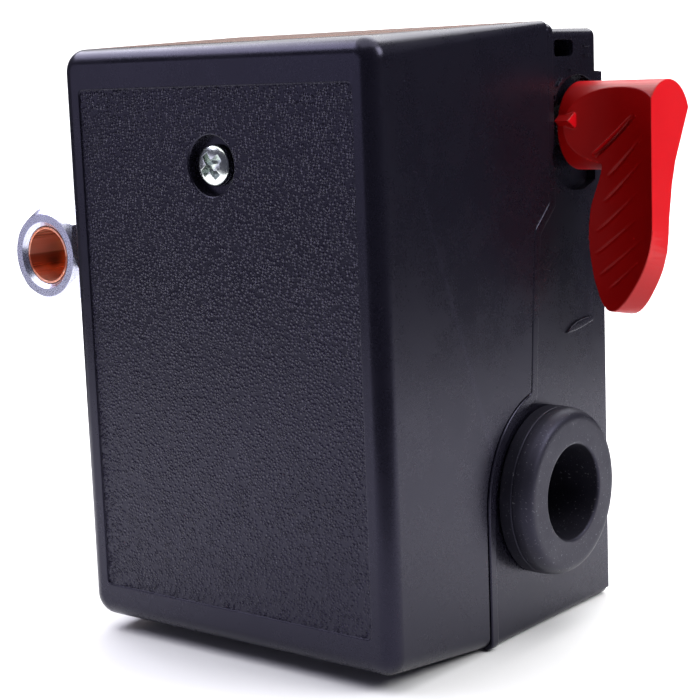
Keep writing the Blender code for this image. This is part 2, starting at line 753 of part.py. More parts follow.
def make_terminal_block():
    """Bridge of phenolic over the rocker, on two legs that reach the floor."""
    block = box("terminal_block", (-27, BLOCK_BACK_Y, BLOCK_LOW), (27, BLOCK_FRONT_Y, BLOCK_HIGH))
    cut(block, box("barrier", (-4, BLOCK_FRONT_Y - 1, 50), (4, BLOCK_FRONT_Y + 5, 90)))
    for side in (-1, 1):
        low = min(side * 28.0, side * BLOCK_HALF)
        outline = rounded(BLOCK_BACK_Y, LEG_LOW, FRAME_BACK_Y, LEG_HIGH, 0.8, 2)
        leg = prism("leg", "X", outline, low, low + 3.5)
        ends = sorted((side * 26.0, side * 31.4))
        reach = box("reach", (ends[0], -24, LEG_LOW + 0.1), (ends[1], -17, BLOCK_HIGH - 0.1))
        join(block, reach, leg)
        cut(block, rod("hole", "Y", side * LEG_X, LEG_SCREW_Z, 1.5, 4, 20, 14))
    cut(block, rod("guide", "Y", 0, CONTACT_Z, 2.9, -40, 0, 20))
    for x, z in terminal_places():
        cut(block, rod("hole", "Y", x, z, 2.0, BLOCK_FRONT_Y - 2, -22, 14))
    return finish(block, "brown_phenolic")


def terminal_places():
    """Centres of the four wire screws."""
    return [(x, CONTACT_Z + z) for x in (-POLE_X, POLE_X) for z in (-TERMINAL_RISE, TERMINAL_RISE)]


def make_terminal(name, x, up):
    """Brass strip that wraps the block from the wire screw to the fixed contact."""
    thick = STRIP_THICKNESS
    front = BLOCK_FRONT_Y - GAP
    back = -12.0
    outer = BLOCK_HIGH - CONTACT_Z + GAP
    outline = [
        (front - thick, 2.5),
        (front, 2.5),
        (front, outer),
        (back, outer),
        (back, 3.2),
        (back + thick, 3.2),
        (back + thick, outer + thick),
        (front - thick, outer + thick),
    ]
    outline = [(y, CONTACT_Z + up * z) for y, z in outline]
    half = STRIP_WIDTH / 2
    strip = prism(name, "X", outline, x - half, x + half)
    cut(strip, rod("hole", "Y", x, CONTACT_Z + up * TERMINAL_RISE, 2.0, front - 3, front + 2, 16))
    return finish(strip, "brass")


def make_contact_parts():
    """Carrier that the rocker pushes, with two bridging contacts."""
    carrier = box("contact_carrier", (-18, -12.0, 68.2), (18, -8.0, 71.8))
    join(
        carrier,
        box("stem", (-4, -8.5, 68.6), (4, 5.85, 71.4)),
        rod("guide", "Y", 0, CONTACT_Z, 2.5, -27, -11.5, 20),
    )
    finish(carrier, "white_nylon", (0, 5.85, CONTACT_Z))
    for side, label in ((-1, "left"), (1, "right")):
        x = side * POLE_X
        name = "moving_contact_" + label
        bar = prism(name, "Y", rounded(x - 3, 62.2, x + 3, 77.8, 1.2, 3), -13.6, -12.3)
        finish(bar, "copper")
    for side, side_label in ((-1, "left"), (1, "right")):
        for up, up_label in ((-1, "lower"), (1, "upper")):
            label = up_label + "_" + side_label
            x = side * POLE_X
            make_terminal("terminal_" + label, x, up)
            seat = BLOCK_FRONT_Y - 2 * GAP - STRIP_THICKNESS
            screw_z = CONTACT_Z + up * TERMINAL_RISE
            screw("terminal_screw_" + label, x, screw_z, seat, -24.5, 3.2, 1.9, 1.6, "slot")


# ---------------------------------------------------------------- fasteners and the cover post

def make_post():
    post = hexagon("cover_post", "Y", 0, POST_Z, 7.0, POST_FRONT_Y, FRAME_BACK_Y)
    cut(
        post,
        rod("thread", "Y", 0, POST_Z, 2.2, -50, -27, 18),
        rod("thread", "Y", 0, POST_Z, 2.0, 4, 20, 16),
    )
    return finish(post, "zinc_plate")


def make_fasteners():
    screw("cover_screw", 0, POST_Z, SCREW_RECESS_FLOOR - GAP, -30, 3.5, 1.9, 1.9)
    screw("post_screw", 0, POST_Z, BASE_BACK + GAP, 6.5, 3.4, 2.0, 1.7)
    boss_face = GROUND_BOSS_Y - GAP
    for side, label in ((-1, "left"), (1, "right")):
        screw("block_screw_" + label, side * LEG_X, LEG_SCREW_Z, BASE_BACK + GAP, 6.5, 2.6, 1.7, 1.2)
        screw("ground_screw_" + label, side * GROUND_X, GROUND_Z, boss_face, 13.5, 4.0, 2.2, 1.7, "slot")
    for number, (x, z) in enumerate(flange_screw_places(), 1):
        screw("flange_screw_%d" % number, x, z, FLANGE_BACK_Y + GAP, 11.0, 3.8, 2.4, 2.0)


# ---------------------------------------------------------------- unloader valve

def make_valve_body():
    """Elbow: a stem through the base wall and a barrel that carries the tube fitting."""
    body = turned(
        "unloader_body", "Y", VALVE_X, VALVE_Z,
        [(-31.0, 0), (-31.0, 6.2), (-25.0, 6.2), (-25.0, 7.6), (9.0, 7.6), (10.2, 6.6), (10.2, 0)],
    )
    join(
        body,
        rod("shoulder", "X", VALVE_Y, VALVE_Z, 6.2, VALVE_X, -BASE_HALF - GAP, 20),
        rod("stem", "X", VALVE_Y, VALVE_Z, VALVE_STEM, VALVE_X, -29.6, 20),
    )
    cut(
        body,
        rod("way", "Y", VALVE_X, VALVE_Z, 2.5, -40, 3, 14),
        rod("guide", "X", VALVE_Y, VALVE_Z, VALVE_GUIDE, VALVE_X, -20, 14),
    )
    return finish(body, "brass")


def make_valve_nut():
    """Hexagon compression nut, chamfered at both ends."""
    nut = hexagon("unloader_nut", "Y", VALVE_X, VALVE_Z, NUT_FLATS, NUT_FRONT_Y, NUT_BACK_Y, NUT_TURN)
    reach = NUT_FLATS / math.sqrt(3)
    chamfer = reach - NUT_FLATS / 2 + 0.3
    profile = [
        (NUT_FRONT_Y - 0.1, 0),
        (NUT_FRONT_Y - 0.1, reach - chamfer),
        (NUT_FRONT_Y + 0.8, reach + 0.1),
        (NUT_BACK_Y - 0.8, reach + 0.1),
        (NUT_BACK_Y + 0.1, reach - chamfer),
        (NUT_BACK_Y + 0.1, 0),
    ]
    keep(nut, turned("chamfer", "Y", VALVE_X, VALVE_Z, profile, count=24))
    way = SLEEVE_RADIUS + GAP
    mouth = [
        (NUT_FRONT_Y - 1, 0),
        (NUT_FRONT_Y - 1, way + NUT_BEVEL + 1),
        (NUT_FRONT_Y + NUT_BEVEL, way),
        (SLEEVE_BACK_Y, way),
        (SLEEVE_BACK_Y, NUT_THREAD_RADIUS),
        (NUT_BACK_Y + 2, NUT_THREAD_RADIUS),
        (NUT_BACK_Y + 2, 0),
    ]
    cut(nut, turned("mouth", "Y", VALVE_X, VALVE_Z, mouth, count=24))
    return finish(nut, "zinc_plate")


def make_valve_parts():
    make_valve_body()
    make_valve_nut()
    wall = [
        (SLEEVE_FRONT_Y, SLEEVE_BORE),
        (SLEEVE_FRONT_Y, SLEEVE_RADIUS),
        (SLEEVE_BACK_Y, SLEEVE_RADIUS),
        (SLEEVE_BACK_Y, SLEEVE_BORE),
    ]
    finish(turned("unloader_sleeve", "Y", VALVE_X, VALVE_Z, wall, count=24, ring=True), "copper")
    locknut = hexagon("unloader_locknut", "X", VALVE_Y, VALVE_Z, LOCKNUT_FLATS, -31.8, -29.8)
    cut(locknut, rod("hole", "X", VALVE_Y, VALVE_Z, VALVE_STEM + GAP, -35, -25, 24))
    finish(locknut, "zinc_plate")
    profile = [(-47.0, 0), (-47.0, 1.5), (-21.7, 1.5), (-21.7, 3.4), (-20.5, 3.4), (-20.5, 1.5)]
    profile += [(-18.0, 1.5), (-16.2, 0.6), (-16.2, 0)]
    pin = turned("unloader_pin", "X", VALVE_Y, VALVE_Z, profile, count=14)
    finish(pin, "steel", (-16.2, VALVE_Y, VALVE_Z))
    spring = coil("unloader_spring", VALVE_Y, VALVE_Z, 2.6, 0.4, -29.2, -22.0, 5, "X", 4, 9)
    finish(spring, "spring_steel")


# ---------------------------------------------------------------- assembly

def build():
    make_front_cover()
    make_base()
    make_grommet("cable_grommet_right", 1)
    make_grommet("cable_grommet_left", -1)
    make_lever()
    make_camshaft()
    make_flange()
    make_diaphragm()
    make_plunger()
    make_frame_plate()
    make_pivot_pin()
    make_rocker()
    make_range_parts()
    make_differential_parts()
    make_terminal_block()
    make_contact_parts()
    make_post()
    make_fasteners()
    make_valve_parts()


clear_scene()
MADE = make_materials()
build()
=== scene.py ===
"""Pressure switch: detailed pieces, materials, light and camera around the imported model.

The shape helpers take millimetres and write metres, in the frame of the CAD model.
"""
import json
import math

import bmesh
import bpy
from mathutils import Matrix, Vector
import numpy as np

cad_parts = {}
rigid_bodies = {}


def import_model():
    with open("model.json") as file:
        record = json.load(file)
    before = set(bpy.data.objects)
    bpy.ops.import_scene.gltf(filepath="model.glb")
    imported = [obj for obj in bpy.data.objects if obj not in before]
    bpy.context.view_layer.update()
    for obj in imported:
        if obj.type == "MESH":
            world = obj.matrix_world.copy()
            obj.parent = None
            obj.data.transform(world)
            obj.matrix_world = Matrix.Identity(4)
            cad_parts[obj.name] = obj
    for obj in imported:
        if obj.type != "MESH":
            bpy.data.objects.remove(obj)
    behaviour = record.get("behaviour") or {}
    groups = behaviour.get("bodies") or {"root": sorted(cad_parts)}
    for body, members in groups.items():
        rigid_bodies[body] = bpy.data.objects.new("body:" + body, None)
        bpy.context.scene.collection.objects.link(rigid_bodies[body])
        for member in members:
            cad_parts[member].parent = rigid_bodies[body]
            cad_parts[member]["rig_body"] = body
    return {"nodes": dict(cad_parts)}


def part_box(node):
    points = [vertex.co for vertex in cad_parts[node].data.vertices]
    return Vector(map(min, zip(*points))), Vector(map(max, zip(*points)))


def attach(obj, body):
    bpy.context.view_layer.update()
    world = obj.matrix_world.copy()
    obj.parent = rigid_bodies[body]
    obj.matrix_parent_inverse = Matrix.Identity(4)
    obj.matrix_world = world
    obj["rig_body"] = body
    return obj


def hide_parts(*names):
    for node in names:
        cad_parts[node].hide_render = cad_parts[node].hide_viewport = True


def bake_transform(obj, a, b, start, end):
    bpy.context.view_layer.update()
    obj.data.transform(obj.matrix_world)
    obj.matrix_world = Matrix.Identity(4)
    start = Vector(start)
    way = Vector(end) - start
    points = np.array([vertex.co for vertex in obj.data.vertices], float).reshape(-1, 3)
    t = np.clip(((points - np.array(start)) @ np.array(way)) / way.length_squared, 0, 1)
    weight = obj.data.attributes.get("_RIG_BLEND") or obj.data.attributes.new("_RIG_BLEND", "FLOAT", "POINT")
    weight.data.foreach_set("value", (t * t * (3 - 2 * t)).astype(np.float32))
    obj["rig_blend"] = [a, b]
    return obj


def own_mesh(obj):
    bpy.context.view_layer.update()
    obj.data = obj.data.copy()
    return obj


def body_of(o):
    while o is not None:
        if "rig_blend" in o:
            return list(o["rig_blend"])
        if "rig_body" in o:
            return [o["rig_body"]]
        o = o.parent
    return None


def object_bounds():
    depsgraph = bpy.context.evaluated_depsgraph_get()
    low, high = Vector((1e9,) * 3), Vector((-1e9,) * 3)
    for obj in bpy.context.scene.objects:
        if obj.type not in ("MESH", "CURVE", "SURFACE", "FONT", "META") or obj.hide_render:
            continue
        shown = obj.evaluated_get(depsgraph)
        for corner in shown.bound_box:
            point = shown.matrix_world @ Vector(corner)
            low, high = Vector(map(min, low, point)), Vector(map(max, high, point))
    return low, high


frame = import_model()
CAD_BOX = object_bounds()

MM = 0.001
GAP = 0.3

# Front cover
FRONT_Y = -49.5
COVER_FRONT_HALF = 35.1
COVER_REAR_HALF = 36.3
COVER_TOP_FRONT = 106.0
COVER_TOP_REAR = 108.0
COVER_BOTTOM_FRONT = 2.8
COVER_BOTTOM_REAR = -1.3
COVER_WALL = 2.0
FRONT_ROUND = 3.0
CORNER_FRONT = 4.0
CORNER_REAR = 1.2
PANEL_HALF_WIDTH = 30.65
PANEL_LOW = 9.0
PANEL_HIGH = 99.0
PANEL_DEPTH = 0.3

# Seam between the cover and the base
SEAM_TOP_Y = -1.3
SEAM_WAIST_Y = -7.4
SEAM_STEP_HIGH = 76.6
SEAM_STEP_LOW = 72.2
SEAM_ARC_RADIUS = 19.1
BEAD_WIDTH = 2.0
TONGUE_LENGTH = 3.0

# Base
BASE_HALF = 35.1
BASE_TOP = 106.7
BASE_BACK = 18.3
BASE_CAVITY_HALF = 32.2
BASE_CAVITY_LOW = 4.0
BASE_CAVITY_HIGH = 103.9
FLOOR_Y = 15.8
BEAD_HALF = 36.0
TONGUE_HALF = 33.4
LIP_BACK = 19.1
LIP_WIDTH = 1.6
LIP_LOW = 1.0
LIP_HIGH = 98.9
NOTCH_Y = 16.4
NOTCH_Z = 99.0
WINDOW_FRONT_Y = 2.9
WINDOW_BACK_Y = 9.1
WINDOW_LOW = 101.8
WINDOW_HIGH = 104.7
SIDE_RELIEF = 0.45
GROUND_X = 20.0
GROUND_Z = 12.0
GROUND_BOSS_Y = 8.0
SCREW_HOLE = 2.0

# Cable entries
ENTRY_Y = -3.5
ENTRY_Z = 25.3
ENTRY_BORE = 8.55
ENTRY_FLANGE = 15.1
ENTRY_NECK = 10.4
ENTRY_FACE_X = 41.5

# Lever
LEVER_Y = 10.5
LEVER_Z = 89.4
HUB_RADIUS = 7.9
HUB_INNER_X = 35.5
HUB_OUTER_X = 44.0
LEVER_END_X = 53.3
BLADE_FRONT_Y = 4.4
BLADE_BACK_Y = 10.0
SCOOP_RADIUS = 13.0
SCOOP_X = 46.0
SCOOP_Y = -6.6
SCOOP_BEND = 0.0058
SCOOP_BEND_Z = 74.0
RECESS_RADIUS = 11.5
RECESS_TOP_RADIUS = 9.0
RECESS_DEPTH = 1.7
RECESS_BACK_Y = 16.2

# Cover screw and its post
POST_Z = 85.9
POST_FRONT_Y = -39.7
SCREW_RECESS_RADIUS = 5.1
SCREW_RECESS_FLOOR = -47.2
TERMINAL_SEAT_Y = -33.8

# Pressure port
PORT_Z = 48.0
FLANGE_HALF = 27.0
FLANGE_FRONT_Y = 18.6
FLANGE_BACK_Y = 26.0
BOSS_BACK_Y = 44.0
BOSS_FLATS = 26.0
PORT_THREAD_RADIUS = 5.7
FLANGE_SCREW_REACH = 21.0
FLANGE_SCREW_HOLE = 2.4
SHOULDER_RADIUS = 15.5
ORIFICE_RADIUS = 2.0
DIAPHRAGM_RADIUS = 17.0

# Springs
RANGE_Z = 38.0
DIFFERENTIAL_X = 10.0
DIFFERENTIAL_Z = 52.0
SPRING_END_Y = 5.9
RANGE_END_Y = -17.6
DIFFERENTIAL_END_Y = -9.7
VALVE_SPRING_OUTER_X = -29.2
VALVE_SPRING_INNER_X = -22.0

# Terminal block
LEG_X = 29.7
LEG_SCREW_Z = 78.0

# Unloader valve
VALVE_X = -51.2
VALVE_Y = 2.5
VALVE_Z = 68.2
NUT_FRONT_Y = -41.5
NUT_BACK_Y = -28.0
NUT_FLATS = 15.8
NUT_TURN = 40
NUT_FACE = 7.75
NUT_BEVEL = 0.8
NUT_THREAD_RADIUS = 6.5
VALVE_BORE = 2.5
VALVE_GUIDE = 1.9
SLEEVE_FRONT_Y = -40.8
SLEEVE_BACK_Y = -31.4
SLEEVE_RADIUS = 5.4
SLEEVE_GAP = 0.15
SLEEVE_BORE = 4.95


# ---------------------------------------------------------------- shape helpers

def spot(axis, along, first, second):
    """Point at `along` on the axis, with the two other coordinates in X, Y, Z order."""
    if axis == "X":
        return Vector((along, first, second))
    if axis == "Y":
        return Vector((first, along, second))
    return Vector((first, second, along))


def piece_from(name, shape):
    """Turn a bmesh drawn in millimetres into an object in metres."""
    bmesh.ops.recalc_face_normals(shape, faces=shape.faces)
    mesh = bpy.data.meshes.new(name)
    shape.to_mesh(mesh)
    shape.free()
    mesh.transform(Matrix.Scale(MM, 4))
    piece = bpy.data.objects.new(name, mesh)
    bpy.context.scene.collection.objects.link(piece)
    return piece


def loft(name, rings, ring=False):
    """Solid through closed outlines that all have the same number of points."""
    shape = bmesh.new()
    rows = [[shape.verts.new(point) for point in outline] for outline in rings]
    pairs = list(zip(rows, rows[1:]))
    if ring:
        pairs.append((rows[-1], rows[0]))
    for lower, upper in pairs:
        for index in range(len(lower)):
            after = (index + 1) % len(lower)
            shape.faces.new((lower[index], lower[after], upper[after], upper[index]))
    if not ring:
        shape.faces.new(rows[0])
        shape.faces.new(rows[-1])
    return piece_from(name, shape)


def prism(name, axis, outline, low, high):
    """Extrude a flat outline along an axis."""
    return loft(name, [[spot(axis, along, *point) for point in outline] for along in (low, high)])


def box(name, low, high):
    """Block between two corners."""
    outline = [(low[0], low[1]), (high[0], low[1]), (high[0], high[1]), (low[0], high[1])]
    return prism(name, "Z", outline, low[2], high[2])


def circle(first, second, radius, count=64, turn=0.0):
    """Outline of a circle, or of a regular polygon when count is small."""
    angles = [turn + 2 * math.pi * step / count for step in range(count)]
    return [(first + radius * math.cos(angle), second + radius * math.sin(angle)) for angle in angles]


def rounded(first_low, second_low, first_high, second_high, radius, steps=8):
    """Outline of a rectangle with round corners."""
    corners = (
        (first_high - radius, second_high - radius, 0),
        (first_low + radius, second_high - radius, 90),
        (first_low + radius, second_low + radius, 180),
        (first_high - radius, second_low + radius, 270),
    )
    outline = []
    for first, second, start in corners:
        for step in range(steps + 1):
            angle = math.radians(start + 90 * step / steps)
            outline.append((first + radius * math.cos(angle), second + radius * math.sin(angle)))
    return outline


def soft_corners(points, reach, steps=4, closed=False):
    """Polyline whose corners are replaced by short curves that start `reach` away."""
    made = []
    count = len(points)
    for index, point in enumerate(points):
        if not closed and index in (0, count - 1):
            made.append(tuple(point))
            continue
        here = Vector(point)
        before = Vector(points[index - 1]) - here
        after = Vector(points[(index + 1) % count]) - here
        first = here + before.normalized() * min(reach, before.length * 0.45)
        last = here + after.normalized() * min(reach, after.length * 0.45)
        for step in range(steps + 1):
            share = step / steps
            made.append(tuple(first.lerp(here, share).lerp(here.lerp(last, share), share)))
    return made


def rod(name, axis, first, second, radius, low, high, count=64):
    """Round bar along an axis."""
    return prism(name, axis, circle(first, second, radius, count), low, high)


def hexagon(name, axis, first, second, flats, low, high, turn=30):
    """Six-sided bar along an axis, given its size across the flats and its first corner's angle."""
    outline = circle(first, second, flats / math.sqrt(3), 6, math.radians(turn))
    return prism(name, axis, outline, low, high)


def turned(name, axis, first, second, profile, count=64, ring=False):
    """Turn a profile of (along, radius) points. A ring's profile closes on itself."""
    shape = bmesh.new()
    rows = []
    for along, radius in profile:
        if radius == 0:
            rows.append([shape.verts.new(spot(axis, along, first, second))])
            continue
        points = circle(first, second, radius, count)
        rows.append([shape.verts.new(spot(axis, along, *point)) for point in points])
    pairs = list(zip(rows, rows[1:]))
    if ring:
        pairs.append((rows[-1], rows[0]))
    for lower, upper in pairs:
        for index in range(count):
            after = (index + 1) % count
            corners = [lower[index % len(lower)], lower[after % len(lower)]]
            corners += [upper[after % len(upper)], upper[index % len(upper)]]
            shape.faces.new(list(dict.fromkeys(corners)))
    return piece_from(name, shape)


def baked(piece):
    """Apply the piece's modifiers to its mesh."""
    graph = bpy.context.evaluated_depsgraph_get()
    mesh = bpy.data.meshes.new_from_object(piece.evaluated_get(graph))
    piece.modifiers.clear()
    piece.data = mesh
    return piece


def combine(piece, other, operation):
    """Apply an exact Boolean and discard the tool."""
    modifier = piece.modifiers.new(operation.lower(), "BOOLEAN")
    modifier.operation = operation
    modifier.solver = "EXACT"
    modifier.object = other
    baked(piece)
    bpy.data.objects.remove(other, do_unlink=True)
    return piece


def join(piece, *others):
    """Fuse further solids onto a piece."""
    for other in others:
        combine(piece, other, "UNION")
    return piece


def cut(piece, *tools):
    """Cut tools out of a piece."""
    for tool in tools:
        combine(piece, tool, "DIFFERENCE")
    return piece


def keep(piece, tool):
    """Keep only what lies inside the tool."""
    return combine(piece, tool, "INTERSECT")


def cleaned(piece, merge=0.004, flat=0.4):
    """Merge stray vertices of a cut and dissolve needless edges on its flat faces."""
    shape = bmesh.new()
    shape.from_mesh(piece.data)
    bmesh.ops.remove_doubles(shape, verts=shape.verts, dist=merge * MM)
    bmesh.ops.dissolve_limit(
        shape, angle_limit=math.radians(flat), verts=shape.verts, edges=shape.edges, delimit={"MATERIAL"}
    )
    shape.to_mesh(piece.data)
    shape.free()
    return piece


def bevelled(piece, width, segments, limit):
    """Add a bevel, in millimetres, to every edge sharper than the limit."""
    bevel = piece.modifiers.new("edges", "BEVEL")
    bevel.width = width * MM
    bevel.segments = segments
    bevel.limit_method = "ANGLE"
    bevel.angle_limit = math.radians(limit)
    return piece


def softened(piece, width, segments=3, limit=40):
    """Round a piece's sharp edges for good."""
    return baked(bevelled(cleaned(piece), width, segments, limit))


def shaded(piece, sharp=40):
    """Smooth shading that keeps flat faces flat."""
    piece.data.shade_smooth()
    piece.data.set_sharp_from_angle(angle=math.radians(sharp))
    normals = piece.modifiers.new("normals", "WEIGHTED_NORMAL")
    normals.keep_sharp = True
    normals.weight = 80
    return piece


def stand_for(piece, material, *nodes, sharp=40):
    """Give a piece its finish and put it in the place of CAD nodes of one body."""
    if not piece.data.materials:
        piece.data.materials.append(material)
    shaded(piece, sharp)
    node = frame["nodes"][nodes[0]]
    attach(piece, body_of(node)[0])
    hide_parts(*nodes)
    return piece


# ---------------------------------------------------------------- materials

COOL_GLOSS = (0.70, 0.67, 1.0, 1.0)
PEBBLE = 0.58


class Finish:
    """A Principled material whose nodes read the object's own coordinates."""

    def __init__(self, name, **values):
        self.material = bpy.data.materials.new(name)
        self.material.use_nodes = True
        self.tree = self.material.node_tree
        self.shader = self.tree.nodes["Principled BSDF"]
        self.height = None
        coordinates = self.tree.nodes.new("ShaderNodeTexCoord")
        self.place = coordinates.outputs["Object"]
        for socket, value in values.items():
            self.shader.inputs[socket.replace("_", " ")].default_value = value

    def link(self, source, target):
        self.tree.links.new(source, target)

    def stretched(self, x, y, z):
        """Coordinates scaled differently along each axis."""
        mapping = self.tree.nodes.new("ShaderNodeMapping")
        mapping.inputs["Scale"].default_value = (x, y, z)
        self.link(self.place, mapping.inputs["Vector"])
        return mapping.outputs["Vector"]

    def noise(self, size, detail=4.0, rough=0.5, place=None, distortion=0.0):
        """Noise whose blotches are about `size` millimetres across."""
        node = self.tree.nodes.new("ShaderNodeTexNoise")
        node.inputs["Scale"].default_value = 1.0 / (size * MM)
        node.inputs["Detail"].default_value = detail
        node.inputs["Roughness"].default_value = rough
        node.inputs["Distortion"].default_value = distortion
        self.link(place or self.place, node.inputs["Vector"])
        return node.outputs["Fac"]

    def cells(self, size, feature="F1"):
        """Distance field of cells of about `size` millimetres."""
        node = self.tree.nodes.new("ShaderNodeTexVoronoi")
        node.feature = feature
        node.inputs["Scale"].default_value = 1.0 / (size * MM)
        self.link(self.place, node.inputs["Vector"])
        return node.outputs["Distance"]

    def span(self, source, low, high, to_low=0.0, to_high=1.0):
        """Map a range of the source to another range, clamped."""
        node = self.tree.nodes.new("ShaderNodeMapRange")
        node.inputs["From Min"].default_value = low
        node.inputs["From Max"].default_value = high
        node.inputs["To Min"].default_value = to_low
        node.inputs["To Max"].default_value = to_high
        self.link(source, node.inputs["Value"])
        return node.outputs["Result"]

    def math(self, operation, first, second):
        """Sum or product of two values, each a socket or a number."""
        node = self.tree.nodes.new("ShaderNodeMath")
        node.operation = operation
        for socket, value in zip(node.inputs, (first, second)):
            if isinstance(value, (int, float)):
                socket.default_value = value
            else:
                self.link(value, socket)
        return node.outputs["Value"]

    def blend(self, factor, first, second):
        """Mix of two colours, each a socket or three numbers."""
        node = self.tree.nodes.new("ShaderNodeMix")
        node.data_type = "RGBA"
        self.link(factor, node.inputs["Factor"])
        for socket, value in ((node.inputs["A"], first), (node.inputs["B"], second)):
            if isinstance(value, tuple):
                socket.default_value = (*value, 1.0)
            else:
                self.link(value, socket)
        return node.outputs["Result"]

    def pointed(self, low, high):
        """Share of worn, outward edge."""
        geometry = self.tree.nodes.new("ShaderNodeNewGeometry")
        return self.span(geometry.outputs["Pointiness"], low, high)

    def dot(self, source, direction):
        node = self.tree.nodes.new("ShaderNodeVectorMath")
        node.operation = "DOT_PRODUCT"
        node.inputs[1].default_value = direction
        self.link(source, node.inputs[0])
        return node.outputs["Value"]

    def along(self, x, y, z):
        """Distance of the place along a direction of the object."""
        return self.dot(self.place, (x, y, z))

    def facing(self, x, y, z):
        """Cosine between the surface's own normal and a direction of the object."""
        coordinates = self.tree.nodes.new("ShaderNodeTexCoord")
        return self.dot(coordinates.outputs["Normal"], (x, y, z))

    def colour(self, source):
        self.link(source, self.shader.inputs["Base Color"])

    def roughness(self, source):
        self.link(source, self.shader.inputs["Roughness"])

    def bump(self, source, depth):
        """Add relief of `depth` millimetres under what is there already."""
        node = self.tree.nodes.new("ShaderNodeBump")
        node.inputs["Distance"].default_value = depth * MM
        node.inputs["Strength"].default_value = 1.0
        self.link(source, node.inputs["Height"])
        if self.height:
            self.link(self.height, node.inputs["Normal"])
        self.height = node.outputs["Normal"]
        self.link(self.height, self.shader.inputs["Normal"])


def smooth_plastic(name, dark, light, roughness=0.3):
    """Satin moulding: faint flow marks, fine orange peel and slightly worn edges."""
    made = Finish(name, Specular_IOR_Level=0.36, Specular_Tint=COOL_GLOSS)
    blotch = made.noise(14.0, 5.0, 0.6)
    fine = made.noise(0.35, 3.0, 0.6)
    worn = made.pointed(0.53, 0.62)
    base = made.blend(blotch, dark, light)
    edge = tuple(min(1.0, c * 2.5) for c in light)
    made.colour(made.blend(made.math("MULTIPLY", worn, 0.35), base, edge))
    broad = made.span(blotch, 0.3, 0.7, -0.04, 0.05)
    narrow = made.span(fine, 0.3, 0.7, -0.02, 0.03)
    made.roughness(made.math("ADD", made.math("ADD", broad, narrow), roughness))
    made.bump(made.noise(3.0, 3.0, 0.5), 0.010)
    made.bump(fine, 0.0015)
    return made.material


def grained_plastic(name, dark, light):
    """Pebble grain of the recessed front panel, with a painted highlight on each pebble top and painted
    shade in the creases between pebbles.
    """
    made = Finish(name, Specular_IOR_Level=0.36, Specular_Tint=COOL_GLOSS)
    waved = made.noise(2.2, 2.0, 0.5)
    dome = made.span(made.cells(PEBBLE), 0.08, 0.62, 1.0, 0.0)
    crease = made.span(made.cells(PEBBLE, "DISTANCE_TO_EDGE"), 0.0, 0.2)
    relief = made.math("MULTIPLY", dome, crease)
    uneven = made.math("MULTIPLY", relief, made.span(waved, 0.3, 0.7, 0.6, 1.0))
    broad = made.span(made.noise(22.0, 4.0, 0.6), 0.3, 0.7, 0.5, 1.0)
    # Colour: pebble tops take the light colour as a painted highlight and creases the dark colour as painted
    # shade; broad noise varies it at random.
    made.colour(made.blend(made.math("MULTIPLY", relief, broad), dark, light))
    made.roughness(made.span(made.noise(5.0, 4.0, 0.6), 0.3, 0.7, 0.24, 0.34))
    made.bump(uneven, 0.18)
    made.bump(made.noise(0.16, 2.0, 0.5), 0.006)
    return made.material


def rubber(name, dark, light):
    """Matt moulded rubber with dust specks."""
    made = Finish(name, Specular_IOR_Level=0.40, Specular_Tint=COOL_GLOSS)
    blotch = made.noise(6.0, 5.0, 0.65)
    speck = made.span(made.noise(0.40, 2.0, 0.5), 0.66, 0.71)
    base = made.blend(blotch, dark, light)
    made.colour(made.blend(made.math("MULTIPLY", speck, 0.5), base, (0.16, 0.16, 0.18)))
    made.roughness(made.span(blotch, 0.3, 0.7, 0.40, 0.54))
    made.bump(made.noise(1.2, 4.0, 0.6), 0.02)
    made.bump(made.noise(0.2, 2.0, 0.5), 0.010)
    return made.material


def red_plastic(name):
    """Satin red moulding, darker in the gripped front than at its ends: the darker red on front-facing faces
    is painted shade.
    """
    made = Finish(name, Specular_IOR_Level=0.20, Specular_Tint=(1.0, 0.5, 0.5, 1.0))
    blotch = made.noise(9.0, 4.0, 0.6)
    fine = made.noise(0.4, 3.0, 0.6)
    worn = made.pointed(0.52, 0.60)
    # bright is the lit red; deep is a painted-shade copy of it that faces turned to the front (-Y) get.
    bright = made.blend(blotch, (0.50, 0.002, 0.006), (0.60, 0.004, 0.009))
    deep = made.blend(blotch, (0.17, 0.0005, 0.0006), (0.22, 0.0008, 0.0008))
    base = made.blend(made.span(made.facing(0, -1, 0), 0.02, 0.50), bright, deep)
    made.colour(made.blend(made.math("MULTIPLY", worn, 0.3), base, (0.66, 0.03, 0.03)))
    made.roughness(made.math("ADD", made.span(blotch, 0.3, 0.7, -0.04, 0.05), 0.36))
    made.bump(made.noise(2.2, 3.0, 0.5), 0.010)
    made.bump(fine, 0.003)
    return made.material


def metal(name, dark, light, roughness, grain=(1.0, 1.0, 1.0), scratch=0.004, stain=None):
    """Plated, turned or cast metal with fine tool marks along one direction."""
    made = Finish(name, Metallic=1.0)
    cloud = made.noise(5.0, 5.0, 0.65)
    base = made.blend(cloud, dark, light)
    if stain:
        base = made.blend(made.span(made.noise(2.4, 5.0, 0.7, distortion=0.6), 0.56, 0.72), base, stain)
    made.colour(base)
    lines = made.noise(0.25, 3.0, 0.6, made.stretched(*grain))
    made.roughness(made.math("ADD", made.span(lines, 0.3, 0.7, -0.06, 0.08), roughness))
    made.bump(lines, scratch)
    made.bump(made.noise(0.9, 3.0, 0.5), 0.006)
    return made.material


